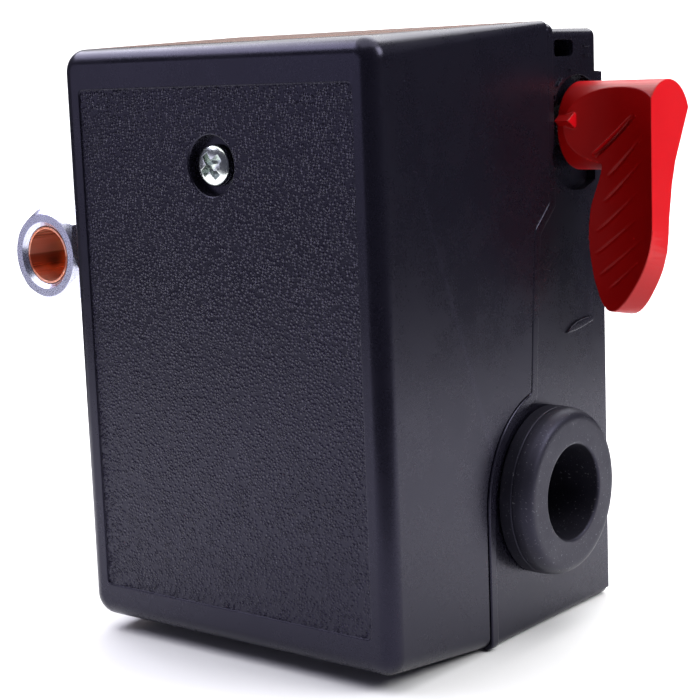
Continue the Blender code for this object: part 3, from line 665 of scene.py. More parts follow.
def drawn_copper(name):
    """Drawn tube with streaks, and a darker stripe just below its axis, that run along it."""
    made = Finish(name, Metallic=0.7)
    streak = made.noise(1.8, 3.0, 0.6, made.stretched(1.0, 0.03, 1.0))
    fresh = made.blend(made.span(streak, 0.40, 0.60), (0.86, 0.30, 0.17), (0.98, 0.50, 0.36))
    height = made.along(0, 0, 1)
    under = made.span(height, (VALVE_Z - 3.1) * MM, (VALVE_Z - 2.4) * MM)
    over = made.span(height, (VALVE_Z - 0.2) * MM, (VALVE_Z + 0.1) * MM, 1.0, 0.0)
    stripe = made.math("MULTIPLY", under, over)
    made.colour(made.blend(made.math("MULTIPLY", stripe, 0.8), fresh, (0.36, 0.055, 0.02)))
    made.roughness(made.span(streak, 0.3, 0.7, 0.24, 0.36))
    made.bump(streak, 0.01)
    made.bump(made.noise(0.6, 3.0, 0.5), 0.004)
    return made.material


def moulded(name, dark, light, roughness, fibre=0.0):
    """Thermoset or nylon moulding."""
    made = Finish(name)
    cloud = made.noise(4.0, 5.0, 0.65)
    base = made.blend(cloud, dark, light)
    if fibre:
        thread = made.span(made.noise(0.5, 4.0, 0.7, made.stretched(1.0, 0.25, 1.0)), 0.55, 0.75)
        pale = tuple(min(1.0, c * 2.2) for c in light)
        base = made.blend(made.math("MULTIPLY", thread, fibre), base, pale)
    made.colour(base)
    made.roughness(made.span(made.noise(1.5, 4.0, 0.6), 0.3, 0.7, roughness - 0.06, roughness + 0.08))
    made.bump(made.noise(0.5, 4.0, 0.6), 0.015)
    return made.material


BLACK = smooth_plastic("black_plastic_smooth", (0.0035, 0.0032, 0.0060), (0.0055, 0.0050, 0.0090), 0.27)
# GRAIN: the light colour is the painted highlight on the pebble tops, the dark colour the painted shade of
# the creases.
GRAIN = grained_plastic("black_plastic_grained", (0.0030, 0.0028, 0.0050), (0.0217, 0.0182, 0.0388))
RUBBER = rubber("rubber_satin", (0.0060, 0.0057, 0.0085), (0.0110, 0.0105, 0.0150))
RED = red_plastic("red_satin")
ZINC = metal("zinc_bright", (0.52, 0.53, 0.66), (0.68, 0.69, 0.82), 0.27, stain=(0.44, 0.47, 0.64))
SCREW = metal("zinc_screw", (0.70, 0.76, 0.72), (0.86, 0.90, 0.87), 0.20, stain=(0.50, 0.60, 0.54))
STEEL = metal("steel_ground", (0.42, 0.42, 0.43), (0.55, 0.55, 0.56), 0.34, (0.08, 1.0, 1.0))
SPRING = metal("spring_drawn", (0.28, 0.28, 0.30), (0.42, 0.42, 0.44), 0.30)
CAST = metal(
    "alloy_cast", (0.46, 0.47, 0.48), (0.62, 0.63, 0.64), 0.48, scratch=0.03, stain=(0.40, 0.40, 0.41)
)
BRASS = metal(
    "brass_turned", (0.60, 0.38, 0.13), (0.78, 0.55, 0.22), 0.26, (1.0, 0.1, 1.0), stain=(0.48, 0.27, 0.10)
)
COPPER = drawn_copper("copper_drawn")
PHENOLIC = moulded("phenolic_brown", (0.075, 0.026, 0.012), (0.13, 0.048, 0.022), 0.42, 0.35)
NYLON = moulded("nylon_natural", (0.60, 0.58, 0.51), (0.74, 0.72, 0.65), 0.44)

BY_SLOT = {
    "black_plastic": BLACK,
    "black_rubber": RUBBER,
    "red_plastic": RED,
    "brown_phenolic": PHENOLIC,
    "white_nylon": NYLON,
    "zinc_plate": ZINC,
    "steel": STEEL,
    "spring_steel": SPRING,
    "die_cast": CAST,
    "brass": BRASS,
    "copper": COPPER,
}


def slot_of(node):
    """Record slot of a CAD node, read from the name of its own material."""
    return frame["nodes"][node].data.materials[0].name.split(".")[0]


SLOTS = {name: slot_of(name) for name in frame["nodes"]}


# ---------------------------------------------------------------- seam and shell outlines

def seam_path():
    """Seam seen from the side, as (y, z) points from the top to the bottom."""
    path = [
        (SEAM_TOP_Y, 115.0),
        (SEAM_TOP_Y, SEAM_STEP_HIGH),
        (SEAM_WAIST_Y + 1.1, SEAM_STEP_LOW),
        (SEAM_WAIST_Y, 60.0),
    ]
    for step in range(13):
        angle = math.radians(105 + 75 * step / 12)
        y = ENTRY_Y + SEAM_ARC_RADIUS * math.cos(angle)
        z = ENTRY_Z + SEAM_ARC_RADIUS * math.sin(angle)
        path.append((y, z))
    path.append((path[-1][0], -8.0))
    return path


def moved_path(path, distance):
    """The path moved sideways, towards +Y when the distance is positive."""
    moved = []
    for index, point in enumerate(path):
        before = Vector(path[max(index - 1, 0)])
        here = Vector(point)
        after = Vector(path[min(index + 1, len(path) - 1)])
        first = (here - before) if index else (after - here)
        second = (after - here) if index < len(path) - 1 else first
        normals = [Vector((-step.y, step.x)).normalized() for step in (first, second)]
        middle = (normals[0] + normals[1]).normalized()
        moved.append(here + middle * distance / middle.dot(normals[0]))
    return [(point.x, point.y) for point in moved]


def behind_seam(name, distance, reach=60.0):
    """Block that fills everything behind the moved seam."""
    path = soft_corners(moved_path(seam_path(), distance), 0.7, 3)
    outline = path + [(reach, path[-1][1]), (reach, path[0][1])]
    return prism(name, "X", outline, -60.0, 60.0)


def cover_ring(y, inset, wall, steps):
    """Outline of the cover at a depth, inset by the front rounding and by a wall."""
    share = (y - FRONT_Y) / (SEAM_TOP_Y - FRONT_Y)
    half = COVER_FRONT_HALF + (COVER_REAR_HALF - COVER_FRONT_HALF) * share
    top = COVER_TOP_FRONT + (COVER_TOP_REAR - COVER_TOP_FRONT) * share
    bottom = COVER_BOTTOM_FRONT + (COVER_BOTTOM_REAR - COVER_BOTTOM_FRONT) * share
    corner = CORNER_FRONT + (CORNER_REAR - CORNER_FRONT) * share
    shrink = inset + wall
    radius = max(corner - shrink, 0.4)
    outline = rounded(-half + shrink, bottom + shrink, half - shrink, top - shrink, radius, steps)
    return [Vector((x, y, z)) for x, z in outline]


def cover_loft(name, wall, round_steps, corner_steps):
    """Drafted box with a rounded front, moved in by a wall thickness."""
    front = FRONT_Y + wall
    rounding = FRONT_ROUND - wall * 0.5
    rings = []
    for step in range(round_steps + 1):
        angle = math.radians(90 * step / round_steps)
        y = front + rounding * (1 - math.cos(angle))
        rings.append(cover_ring(y, rounding * (1 - math.sin(angle)), wall, corner_steps))
    rings.append(cover_ring(8.0 + wall, 0, wall, corner_steps))
    return loft(name, rings)


# ---------------------------------------------------------------- casing

def mouth(name, radius, low, high, flare):
    """Round cutter along the cover screw's axis, whose front end opens with a soft lip."""
    profile = [(low - 1.0, 0), (low - 1.0, radius + flare), (low, radius + flare)]
    for step in range(1, 7):
        angle = math.radians(15 * step)
        profile.append((low + flare * (1 - math.cos(angle)), radius + flare * (1 - math.sin(angle))))
    profile += [(high, radius), (high, 0)]
    return turned(name, "Y", 0.0, POST_Z, profile, 72)


def make_cover():
    cover = cover_loft("cover_shell", 0.0, 12, 8)
    cut(cover, cover_loft("hollow", COVER_WALL, 4, 4), behind_seam("rim", 0.0))
    softened(cover, 0.22, 2, 50)
    flat = [
        (PANEL_HALF_WIDTH + 0.25, -1.0),
        (PANEL_HALF_WIDTH + 0.25, 0.0),
        (PANEL_HALF_WIDTH + 0.06, 0.06),
        (PANEL_HALF_WIDTH, PANEL_DEPTH - 0.05),
        (PANEL_HALF_WIDTH - 0.07, PANEL_DEPTH),
    ]
    rings = []
    for half, depth in flat:
        more = half - PANEL_HALF_WIDTH
        outline = rounded(-half, PANEL_LOW - more, half, PANEL_HIGH + more, 0.9 + more, 5)
        rings.append([Vector((x, FRONT_Y + depth, z)) for x, z in outline])
    cut(cover, loft("panel", rings))
    join(cover, rod("boss", "Y", 0, POST_Z, 6.6, FRONT_Y + 1.5, POST_FRONT_Y - GAP))
    cut(
        cover,
        mouth("recess", SCREW_RECESS_RADIUS, FRONT_Y + PANEL_DEPTH, SCREW_RECESS_FLOOR, 0.35),
        rod("hole", "Y", 0, POST_Z, 2.3, FRONT_Y - 1, 0),
    )
    cleaned(cover)
    cover.data.materials.append(BLACK)
    cover.data.materials.append(GRAIN)
    level = (FRONT_Y + PANEL_DEPTH) * MM
    for face in cover.data.polygons:
        middle = face.center
        inside = abs(middle.x) < PANEL_HALF_WIDTH * MM and PANEL_LOW * MM < middle.z < PANEL_HIGH * MM
        face.material_index = 1 if inside and abs(middle.y - level) < 0.02 * MM else 0
    return stand_for(cover, BLACK, "front_cover")


def base_shell():
    """Walls and floor of the base, with the bead and the tongue along the seam."""
    base = prism("base_shell", "Y", rounded(-BASE_HALF, 0, BASE_HALF, BASE_TOP, 1.5), -40, BASE_BACK)
    keep(base, behind_seam("behind", GAP + BEAD_WIDTH - 0.2))
    bead = prism("bead", "Y", rounded(-BEAD_HALF, 0.2, BEAD_HALF, 107.5, 1.4), -40, 10)
    keep(bead, behind_seam("behind", GAP))
    cut(bead, behind_seam("behind", GAP + BEAD_WIDTH))
    softened(bead, 0.3, 3, 50)
    tongue = prism("tongue", "Y", rounded(-TONGUE_HALF, 3.1, TONGUE_HALF, 105.5, 2.0), -40, 8)
    keep(tongue, behind_seam("behind", -TONGUE_LENGTH))
    softened(base, 0.25, 3, 50)
    join(base, bead, tongue)
    inside = rounded(-BASE_CAVITY_HALF, BASE_CAVITY_LOW, BASE_CAVITY_HALF, BASE_CAVITY_HIGH, 1.6)
    return cut(base, prism("hollow", "Y", inside, -60, FLOOR_Y))


def side_cutter(name, outline_of, depth, lip=0.2):
    """Cutter into the right wall: a stack of outlines that opens with a soft lip."""
    rings = []
    for more, inward in ((lip, -2), (lip, 0), (lip * 0.3, lip * 0.3), (0, lip)):
        rings.append([Vector((BASE_HALF - inward, y, z)) for y, z in outline_of(more)])
    rings.append([Vector((BASE_HALF - depth, y, z)) for y, z in outline_of(0)])
    return loft(name, rings)


def recess_outline(more):
    """Pocket around the lever, which is wider below the lever than above it."""
    outline = []
    for step in range(96):
        angle = 2 * math.pi * step / 96
        share = min(max((-math.sin(angle) - 0.15) / 0.3, 0.0), 1.0)
        radius = RECESS_TOP_RADIUS + (RECESS_RADIUS - RECESS_TOP_RADIUS) * share + more
        outline.append((LEVER_Y + radius * math.cos(angle), LEVER_Z + radius * math.sin(angle)))
    return outline


def window_outline(more):
    """Small window near the top of the wall."""
    front = WINDOW_FRONT_Y - more
    back = WINDOW_BACK_Y + more
    return rounded(front, WINDOW_LOW - more, back, WINDOW_HIGH + more, 0.7 + more)


def side_marks():
    """Small raised position marks around the lever: a ring, bars and short strokes."""
    marks = []
    strokes = (
        (10.2, 163, 0.55, 90),
        (10.2, 174, 0.45, 5),
        (10.2, 180, 0.40, 65),
        (10.2, 187, 0.35, 20),
        (10.2, 132, 0.55, 50),
        (10.2, 126, 0.55, 50),
        (10.3, 104, 0.30, 0),
        (12.9, 77, 0.8, 0),
        (14.4, 79, 0.8, 0),
    )
    low = BASE_HALF - 0.3
    high = BASE_HALF + SIDE_RELIEF
    for reach, around, half, tilt in strokes:
        y = LEVER_Y + reach * math.cos(math.radians(around))
        z = LEVER_Z + reach * math.sin(math.radians(around))
        spin = Matrix.Rotation(math.radians(tilt), 2)
        outline = [spin @ Vector(point) for point in rounded(-half, -0.16, half, 0.16, 0.14)]
        mark = prism("mark", "X", [(y + point.x, z + point.y) for point in outline], low, high)
        marks.append(softened(mark, 0.1, 2))
    ring = [(low, 0.34), (high, 0.42), (high, 0.60), (low, 0.68)]
    around = math.radians(149)
    y = LEVER_Y + 10.2 * math.cos(around)
    z = LEVER_Z + 10.2 * math.sin(around)
    marks.append(turned("mark", "X", y, z, ring, 24, ring=True))
    return marks


def side_details(base):
    """Entries, lever bore, recess, window, rib and marks on the side walls."""
    for side in (-1, 1):
        low = min(side * 30.0, side * 38.0)
        cut(base, rod("entry", "X", ENTRY_Y, ENTRY_Z, ENTRY_NECK + GAP, low, low + 8.0))
    recess = side_cutter("recess", recess_outline, RECESS_DEPTH, 0.3)
    keep(recess, box("rim", (30, -5, 70), (50, RECESS_BACK_Y, 110)))
    cut(
        base,
        recess,
        rod("bore", "X", LEVER_Y, LEVER_Z, 4.3, 30, 40),
        side_cutter("window", window_outline, 4.0),
        rod("valve", "X", VALVE_Y, VALVE_Z, 5.4, -40, -30),
        box("notch", (-40, NOTCH_Y, NOTCH_Z), (40, 20.0, 110.0)),
    )
    rib = [(4.9, 52.3), (6.6, 53.3), (8.8, 54.0), (11.4, 54.3)]
    rib += [(14.2, 54.3), (14.2, 53.5), (11.4, 52.9), (8.0, 52.4)]
    leaf = softened(prism("rib", "X", rib, BASE_HALF - 1, BASE_HALF + SIDE_RELIEF), 0.2, 3)
    strip = prism("strip", "Z", rounded(18.0, 2.0, 26.0, 13.0, 1.0), BASE_TOP - 1, BASE_TOP + 0.6)
    join(base, leaf, softened(strip, 0.2, 3), *side_marks())
    for side in (-1, 1):
        near, far = sorted((side * (BASE_HALF - LIP_WIDTH), side * BASE_HALF))
        lip = box("lip", (near, FLOOR_Y + 0.5, LIP_LOW), (far, LIP_BACK, LIP_HIGH))
        join(base, softened(lip, 0.2, 3))


def flange_screw_places():
    """Centres of the four screws that hold the port flange."""
    reach = FLANGE_SCREW_REACH
    return [(x, PORT_Z + z) for x in (-reach, reach) for z in (-reach, reach)]


def floor_details(base):
    """Openings and bosses in the floor of the base."""
    for x in (-GROUND_X, GROUND_X):
        join(base, rod("boss", "Y", x, GROUND_Z, 4.5, GROUND_BOSS_Y, FLOOR_Y + 0.5))
        cut(base, rod("hole", "Y", x, GROUND_Z, SCREW_HOLE, 0.0, FLOOR_Y - 1))
    cut(base, rod("mouth", "Y", 0, PORT_Z, SHOULDER_RADIUS, FLOOR_Y - 1, 20))
    for x, z in flange_screw_places():
        cut(base, rod("hole", "Y", x, z, FLANGE_SCREW_HOLE, FLOOR_Y - 1, 20, 32))
    for x, z in ((-LEG_X, LEG_SCREW_Z), (LEG_X, LEG_SCREW_Z), (0.0, POST_Z)):
        cut(base, rod("hole", "Y", x, z, SCREW_HOLE, FLOOR_Y - 1, 20, 32))


def make_base():
    base = base_shell()
    side_details(base)
    floor_details(base)
    cleaned(base)
    return stand_for(base, BLACK, "base_housing")


def make_grommet(name, side, node):
    """Rubber bush with a groove that holds the base wall."""
    profile = [
        (28.6, ENTRY_BORE + 0.4),
        (28.2, 10.2),
        (29.2, 12.3),
        (31.9, 12.5),
        (31.9, ENTRY_NECK),
        (BASE_HALF + GAP, ENTRY_NECK),
        (BASE_HALF + GAP, ENTRY_FLANGE),
        (37.85, ENTRY_FLANGE),
        (37.95, ENTRY_FLANGE - 0.12),
        (38.05, ENTRY_FLANGE - 0.02),
        (38.8, ENTRY_FLANGE - 0.06),
        (39.7, ENTRY_FLANGE - 0.22),
        (40.5, ENTRY_FLANGE - 0.58),
        (41.1, ENTRY_FLANGE - 1.05),
        (41.42, ENTRY_FLANGE - 1.6),
        (ENTRY_FACE_X, ENTRY_FLANGE - 2.2),
        (ENTRY_FACE_X, ENTRY_BORE + 0.3),
        (ENTRY_FACE_X - 0.3, ENTRY_BORE),
        (29.0, ENTRY_BORE),
    ]
    profile = soft_corners([(side * along, radius) for along, radius in profile], 0.3, 3, closed=True)
    bush = turned(name, "X", ENTRY_Y, ENTRY_Z, profile, 128, ring=True)
    return stand_for(bush, RUBBER, node, sharp=50)


# ---------------------------------------------------------------- lever

def lever_profile():
    """Side outline of the blade end: a round top that runs down into a tapered tail."""
    outline = []
    for step in range(33):
        angle = math.radians(205 - 185 * step / 32)
        outline.append((LEVER_Y + HUB_RADIUS * math.cos(angle), LEVER_Z + HUB_RADIUS * math.sin(angle)))
    outline += [(13.0, 83.0), (11.7, 79.0), (10.6, 73.0), (BLADE_BACK_Y, 66.0), (BLADE_BACK_Y, 54.0)]
    outline += [(2.9, 54.0), (2.9, 80.0)]
    return outline


def blade_rings():
    """Leaf with its tip down, whose back face is fuller at the tip than its front face."""
    end = LEVER_END_X
    front = [(end, 100.0), (end, 71.0), (52.6, 67.8), (51.2, 64.8), (49.5, 62.1), (47.9, 59.7)]
    front += [(46.4, 57.8), (45.1, 56.7), (43.8, 57.0), (42.5, 58.9), (41.2, 62.6), (40.4, 66.6)]
    back = [(end, 100.0), (end, 71.0), (53.2, 67.0), (52.3, 63.6), (51.1, 61.1), (49.9, 58.9)]
    back += [(48.5, 56.9), (46.9, 55.8), (44.8, 55.7), (42.8, 57.9), (41.2, 62.0), (40.4, 66.2)]
    inner = [(40.1, 70.5), (40.3, 74.5), (41.1, 77.5), (42.4, 81.5), (42.4, 100.0)]
    stations = ((-10.0, front), (BLADE_FRONT_Y, front), (BLADE_BACK_Y, back), (30.0, back))
    rings = []
    for y, outline in stations:
        rings.append([Vector((x, y, z)) for x, z in soft_corners(outline + inner, 1.6, 3, closed=True)])
    return rings


def scoop_y(x, z):
    """Depth of the scooped face at a place on the blade."""
    lean = SCOOP_BEND * max(SCOOP_BEND_Z - z, 0.0) ** 2
    return SCOOP_Y - lean + math.sqrt(max(SCOOP_RADIUS ** 2 - (x - SCOOP_X) ** 2, 0.0))


def scoop_rings():
    """Upright cylinder that leans away from the blade towards its lower end."""
    rings = []
    for z in (*range(50, 76, 2), 110):
        lean = SCOOP_BEND * max(SCOOP_BEND_Z - z, 0.0) ** 2
        rings.append([Vector((x, y, z)) for x, y in circle(SCOOP_X, SCOOP_Y - lean, SCOOP_RADIUS, 180)])
    return rings


def grip_grooves():
    """Parallel shallow grooves that slant across the scooped front of the blade."""
    grooves = []
    lower = [(41.2, 84.2), (43.6, 80.5), (42.8, 76.0), (41.6, 70.8), (41.4, 66.8), (42.2, 63.0)]
    lower.append((44.0, 60.6))
    upper = [(48.9, 91.3), (51.2, 88.2), (51.0, 83.9), (49.8, 78.2), (49.6, 73.6), (50.6, 70.0)]
    upper.append((50.0, 66.0))
    widths = (0.58, 0.36, 0.32, 0.30, 0.30, 0.30, 0.28)
    depths = (1.25, 0.40, 0.34, 0.30, 0.30, 0.30, 0.28)
    for start, end, width, depth in zip(lower, upper, widths, depths):
        along = Vector((end[0] - start[0], 0, end[1] - start[1])).normalized()
        across = along.cross(Vector((0, 1, 0)))
        rings = []
        for step in range(17):
            share = step / 16
            x = start[0] + (end[0] - start[0]) * share
            z = start[1] + (end[1] - start[1]) * share
            place = Vector((x, scoop_y(x, z) - 0.05, z))
            deep = depth * (1.0 - 0.55 * share) * min(1.0, 0.35 + 4 * share, 0.35 + 4 * (1 - share))
            ring = []
            for side in range(12):
                angle = 2 * math.pi * side / 12
                sideways = across * math.cos(angle) * width
                ring.append(place + sideways + Vector((0, math.sin(angle) * deep, 0)))
            rings.append(ring)
        grooves.append(loft("groove", rings))
    return grooves


def make_lever():
    knob = prism("lever_blade", "X", lever_profile(), 38.0, LEVER_END_X)
    keep(knob, loft("leaf", blade_rings()))
    hub = rod("hub", "X", LEVER_Y, LEVER_Z, HUB_RADIUS, HUB_INNER_X, HUB_OUTER_X, 96)
    wedge = [(1.2, 90.6), (3.6, 89.2), (5.0, 90.6), (3.6, 92.0)]
    join(knob, hub)
    cut(knob, loft("scoop", scoop_rings()))
    join(knob, prism("pointer", "X", wedge, HUB_INNER_X + 0.1, 38.6))
    cut(knob, *grip_grooves())
    remesh = knob.modifiers.new("remesh", "REMESH")
    remesh.mode = "VOXEL"
    remesh.voxel_size = 0.15 * MM
    remesh.use_smooth_shade = True
    baked(knob)
    relax = knob.modifiers.new("relax", "SMOOTH")
    relax.factor = 0.5
    relax.iterations = 4
    baked(knob)
    knob.data.materials.clear()
    return stand_for(knob, RED, "lever_knob", sharp=70)


# ---------------------------------------------------------------- fasteners

def plus_outline(x, z, arm, half):
    """Outline of a cross."""
    corners = [
        (half, arm), (-half, arm), (-half, half), (-arm, half), (-arm, -half), (-half, -half),
        (-half, -arm), (half, -arm), (half, -half), (arm, -half), (arm, half), (half, half),
    ]
    return [(x + first, z + second) for first, second in corners]


def ridged(low, high, radius, depth, pitch):
    """Profile of a thread, drawn as rings."""
    way = 1 if high > low else -1
    count = int(abs(high - low) / pitch)
    profile = []
    for index in range(count):
        start = low + way * pitch * index
        profile.append((start, radius - depth))
        profile.append((start + way * pitch * 0.45, radius))
        profile.append((start + way * pitch * 0.6, radius))
    profile.append((low + way * pitch * count, radius - depth))
    return profile


def screw(node, seat, tip, head, height, shank, drive, turn=0.0):
    """Pan-head machine screw along Y with a cross or a slot."""
    low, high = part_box(node)
    x = (low.x + high.x) / 2 / MM
    z = (low.z + high.z) / 2 / MM
    way = 1 if tip > seat else -1
    crown = []
    for step in range(9):
        angle = math.radians(90 * step / 8)
        reach = head * math.sin(angle) if step else 0
        crown.append((seat - way * height * (0.42 + 0.58 * math.cos(angle)), reach))
    profile = crown + [(seat - way * 0.12, head), (seat, head - 0.12), (seat, shank)]
    profile += ridged(seat + way * 0.8, tip - way * 0.5, shank, 0.22, 0.7)
    profile += [(tip, shank * 0.6), (tip, 0)]
    made = turned("detail_" + node, "Y", x, z, profile, 48)
    near = seat - way * (height + 0.5)
    deep = seat - way * height * 0.05
    if drive == "cross":
        rings = []
        for along, arm, half in ((near, head * 0.74, head * 0.20), (deep, head * 0.54, head * 0.17)):
            outline = plus_outline(0.0, 0.0, arm, half)
            spun = [Matrix.Rotation(turn, 2) @ Vector(point) for point in outline]
            rings.append([Vector((x + point.x, along, z + point.y)) for point in spun])
        tool = loft("drive", rings)
    else:
        first = (-head * 1.3, min(near, deep), -head * 0.13)
        last = (head * 1.3, max(near, deep), head * 0.13)
        tool = box("drive", first, last)
        tool.data.transform(Matrix.Rotation(turn, 4, "Y"))
        tool.data.transform(Matrix.Translation(Vector((x, 0, z)) * MM))
    cut(made, tool)
    softened(made, 0.06, 2, 35)
    return stand_for(made, SCREW, node)


def make_fasteners():
    screw("cover_screw", SCREW_RECESS_FLOOR - GAP, -30, 3.5, 1.9, 1.9, "cross", 0.62)
    screw("post_screw", BASE_BACK + GAP, 6.5, 3.4, 2.0, 1.7, "cross", 0.5)
    for index, label in enumerate(("left", "right")):
        screw("block_screw_" + label, BASE_BACK + GAP, 6.5, 2.6, 1.7, 1.2, "cross", 0.3 + index)
        screw("ground_screw_" + label, GROUND_BOSS_Y - GAP, 13.5, 4.0, 2.2, 1.7, "slot", 0.4 - 0.9 * index)
    for number in range(1, 5):
        screw("flange_screw_%d" % number, FLANGE_BACK_Y + GAP, 11.0, 3.8, 2.4, 2.0, "cross", 0.7 * number)
    for index, place in enumerate(("upper_left", "upper_right", "lower_left", "lower_right")):
        screw("terminal_screw_" + place, TERMINAL_SEAT_Y, -24.5, 3.2, 1.9, 1.6, "slot", 0.35 * index)


# ---------------------------------------------------------------- port

def make_flange():
    outline = rounded(-FLANGE_HALF, PORT_Z - FLANGE_HALF, FLANGE_HALF, PORT_Z + FLANGE_HALF, 6.0, 12)
    flange = prism("flange_casting", "Y", outline, FLANGE_FRONT_Y, FLANGE_BACK_Y)
    softened(flange, 0.6, 3, 50)
    shoulder = [(25, 0), (25, 16.6), (26.2, 16.0), (27.0, SHOULDER_RADIUS), (28.6, SHOULDER_RADIUS)]
    shoulder += [(29.0, 15.0), (29.0, 0)]
    join(flange, turned("shoulder", "Y", 0, PORT_Z, shoulder, 72))
    boss = hexagon("boss", "Y", 0, PORT_Z, BOSS_FLATS, FLANGE_BACK_Y - 1, BOSS_BACK_Y)
    reach = BOSS_FLATS / math.sqrt(3)
    cone = [(20, 0), (20, reach + 1), (42.6, reach + 1)]
    cone += [(BOSS_BACK_Y + 0.01, BOSS_FLATS / 2 - 0.2), (BOSS_BACK_Y + 0.01, 0)]
    keep(boss, turned("chamfer", "Y", 0, PORT_Z, cone, 72))
    join(flange, softened(boss, 0.2, 3, 25))
    thread = [(30.0, 0), (30.0, PORT_THREAD_RADIUS - 0.5)]
    thread += ridged(30.5, 43.3, PORT_THREAD_RADIUS, 0.55, 0.94)
    entry = PORT_THREAD_RADIUS + 0.9
    thread += [(43.4, PORT_THREAD_RADIUS), (44.4, entry), (50, entry), (50, 0)]
    cut(
        flange,
        rod("seat", "Y", 0, PORT_Z, DIAPHRAGM_RADIUS + GAP, 10, 20.4),
        rod("chamber", "Y", 0, PORT_Z, 13.0, 20, 22.5),
        rod("orifice", "Y", 0, PORT_Z, ORIFICE_RADIUS, 22, 31),
        turned("thread", "Y", 0, PORT_Z, thread, 64),
    )
    for x, z in flange_screw_places():
        cut(flange, rod("hole", "Y", x, z, FLANGE_SCREW_HOLE, 10, 40, 32))
    cleaned(flange)
    return stand_for(flange, CAST, "port_flange")


# ---------------------------------------------------------------- springs

def coil(name, first, second, radius, wire, low, high, turns, axis, sides=16, steps=48, part=(0.0, 1.0)):
    """Round-wire compression spring whose end turns lie flat, or the given part of its turns."""
    count = turns * steps
    closed = 2.05 * wire
    pitch = (high - low - 2 * wire - 2 * closed) / (turns - 2)
    rings = []
    for step in range(round(count * part[0]), round(count * part[1]) + 1):
        turn = step / steps
        angle = 2 * math.pi * turn
        ends = min(turn, 1.0) + max(turn - turns + 1, 0.0)
        middle = min(max(turn - 1, 0.0), turns - 2)
        along = low + wire + closed * ends + pitch * middle
        ring = []
        for side in range(sides):
            around = 2 * math.pi * side / sides
            reach = radius + wire * math.cos(around)
            point = (first + reach * math.cos(angle), second + reach * math.sin(angle))
            ring.append(spot(axis, along + wire * math.sin(around), *point))
        rings.append(ring)
    return loft(name, rings)


def rocker_spring(name, x, z, radius, wire, low):
    """Spring squeezed from the front by its adjusting nut and from the back by the rocker."""
    high = SPRING_END_Y
    middle = (low + high) / 2
    node = name + "_spring"
    front = coil(name + "_coil", x, z, radius, wire, low, high, 6, "Y", part=(0.0, 0.5))
    stand_for(front, SPRING, node, sharp=60)
    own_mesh(front)
    rear = coil(name + "_coil_rear", x, z, radius, wire, low, high, 6, "Y", part=(0.5, 1.0))
    rear.data.materials.append(SPRING)
    shaded(rear, 60)
    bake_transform(rear, "base", "rocker", Vector((x, middle, z)) * MM, Vector((x, high - 2 * wire, z)) * MM)


def make_springs():
    rocker_spring("range", 0, RANGE_Z, 6.0, 0.95, RANGE_END_Y)
    rocker_spring("differential", DIFFERENTIAL_X, DIFFERENTIAL_Z, 3.2, 0.5, DIFFERENTIAL_END_Y)
    outer = VALVE_SPRING_OUTER_X
    light = coil("unloader_coil", VALVE_Y, VALVE_Z, 2.6, 0.4, outer, VALVE_SPRING_INNER_X, 5, "X", 12, 40)
    stand_for(light, SPRING, "unloader_spring", sharp=60)
    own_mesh(light)


# ---------------------------------------------------------------- unloader valve

def make_valve():
    profile = [(-31.0, 0), (-31.0, 6.2), (-25.0, 6.2), (-25.0, 7.6), (9.0, 7.6), (10.2, 6.6), (10.2, 0)]
    body = turned("valve_elbow", "Y", VALVE_X, VALVE_Z, soft_corners(profile, 0.35), 72)
    join(
        body,
        rod("shoulder", "X", VALVE_Y, VALVE_Z, 6.2, VALVE_X, -BASE_HALF - GAP),
        rod("stem", "X", VALVE_Y, VALVE_Z, 5.0, VALVE_X, -29.6),
    )
    cut(
        body,
        rod("way", "Y", VALVE_X, VALVE_Z, VALVE_BORE, -40, 3),
        rod("guide", "X", VALVE_Y, VALVE_Z, VALVE_GUIDE, VALVE_X, -20),
    )
    stand_for(body, BRASS, "unloader_body")
    nut = hexagon("valve_nut", "Y", VALVE_X, VALVE_Z, NUT_FLATS, NUT_FRONT_Y, NUT_BACK_Y, NUT_TURN)
    reach = NUT_FLATS / math.sqrt(3)
    profile = [
        (NUT_FRONT_Y - 0.1, 0),
        (NUT_FRONT_Y - 0.1, NUT_FACE),
        (NUT_FRONT_Y + 1.3, reach + 0.1),
        (NUT_BACK_Y - 0.8, reach + 0.1),
        (NUT_BACK_Y + 0.1, NUT_FACE),
        (NUT_BACK_Y + 0.1, 0),
    ]
    keep(nut, turned("chamfer", "Y", VALVE_X, VALVE_Z, profile, 96))
    softened(nut, 0.12, 3, 20)
    way = SLEEVE_RADIUS + SLEEVE_GAP
    hole = [
        (NUT_FRONT_Y - 1, 0),
        (NUT_FRONT_Y - 1, way + NUT_BEVEL + 1),
        (NUT_FRONT_Y + NUT_BEVEL, way),
        (SLEEVE_BACK_Y, way),
        (SLEEVE_BACK_Y, NUT_THREAD_RADIUS),
        (NUT_BACK_Y + 2, NUT_THREAD_RADIUS),
        (NUT_BACK_Y + 2, 0),
    ]
    cut(nut, turned("mouth", "Y", VALVE_X, VALVE_Z, hole, 96))
    cleaned(nut)
    stand_for(nut, ZINC, "unloader_nut", sharp=30)
    profile = [
        (SLEEVE_FRONT_Y, SLEEVE_BORE),
        (SLEEVE_FRONT_Y, SLEEVE_RADIUS),
        (SLEEVE_BACK_Y, SLEEVE_RADIUS),
        (SLEEVE_BACK_Y, SLEEVE_BORE),
    ]
    profile = soft_corners(profile, 0.12, 3, closed=True)
    sleeve = turned("valve_sleeve", "Y", VALVE_X, VALVE_Z, profile, 96, ring=True)
    stand_for(sleeve, COPPER, "unloader_sleeve", sharp=50)


# ---------------------------------------------------------------- carried-over nodes

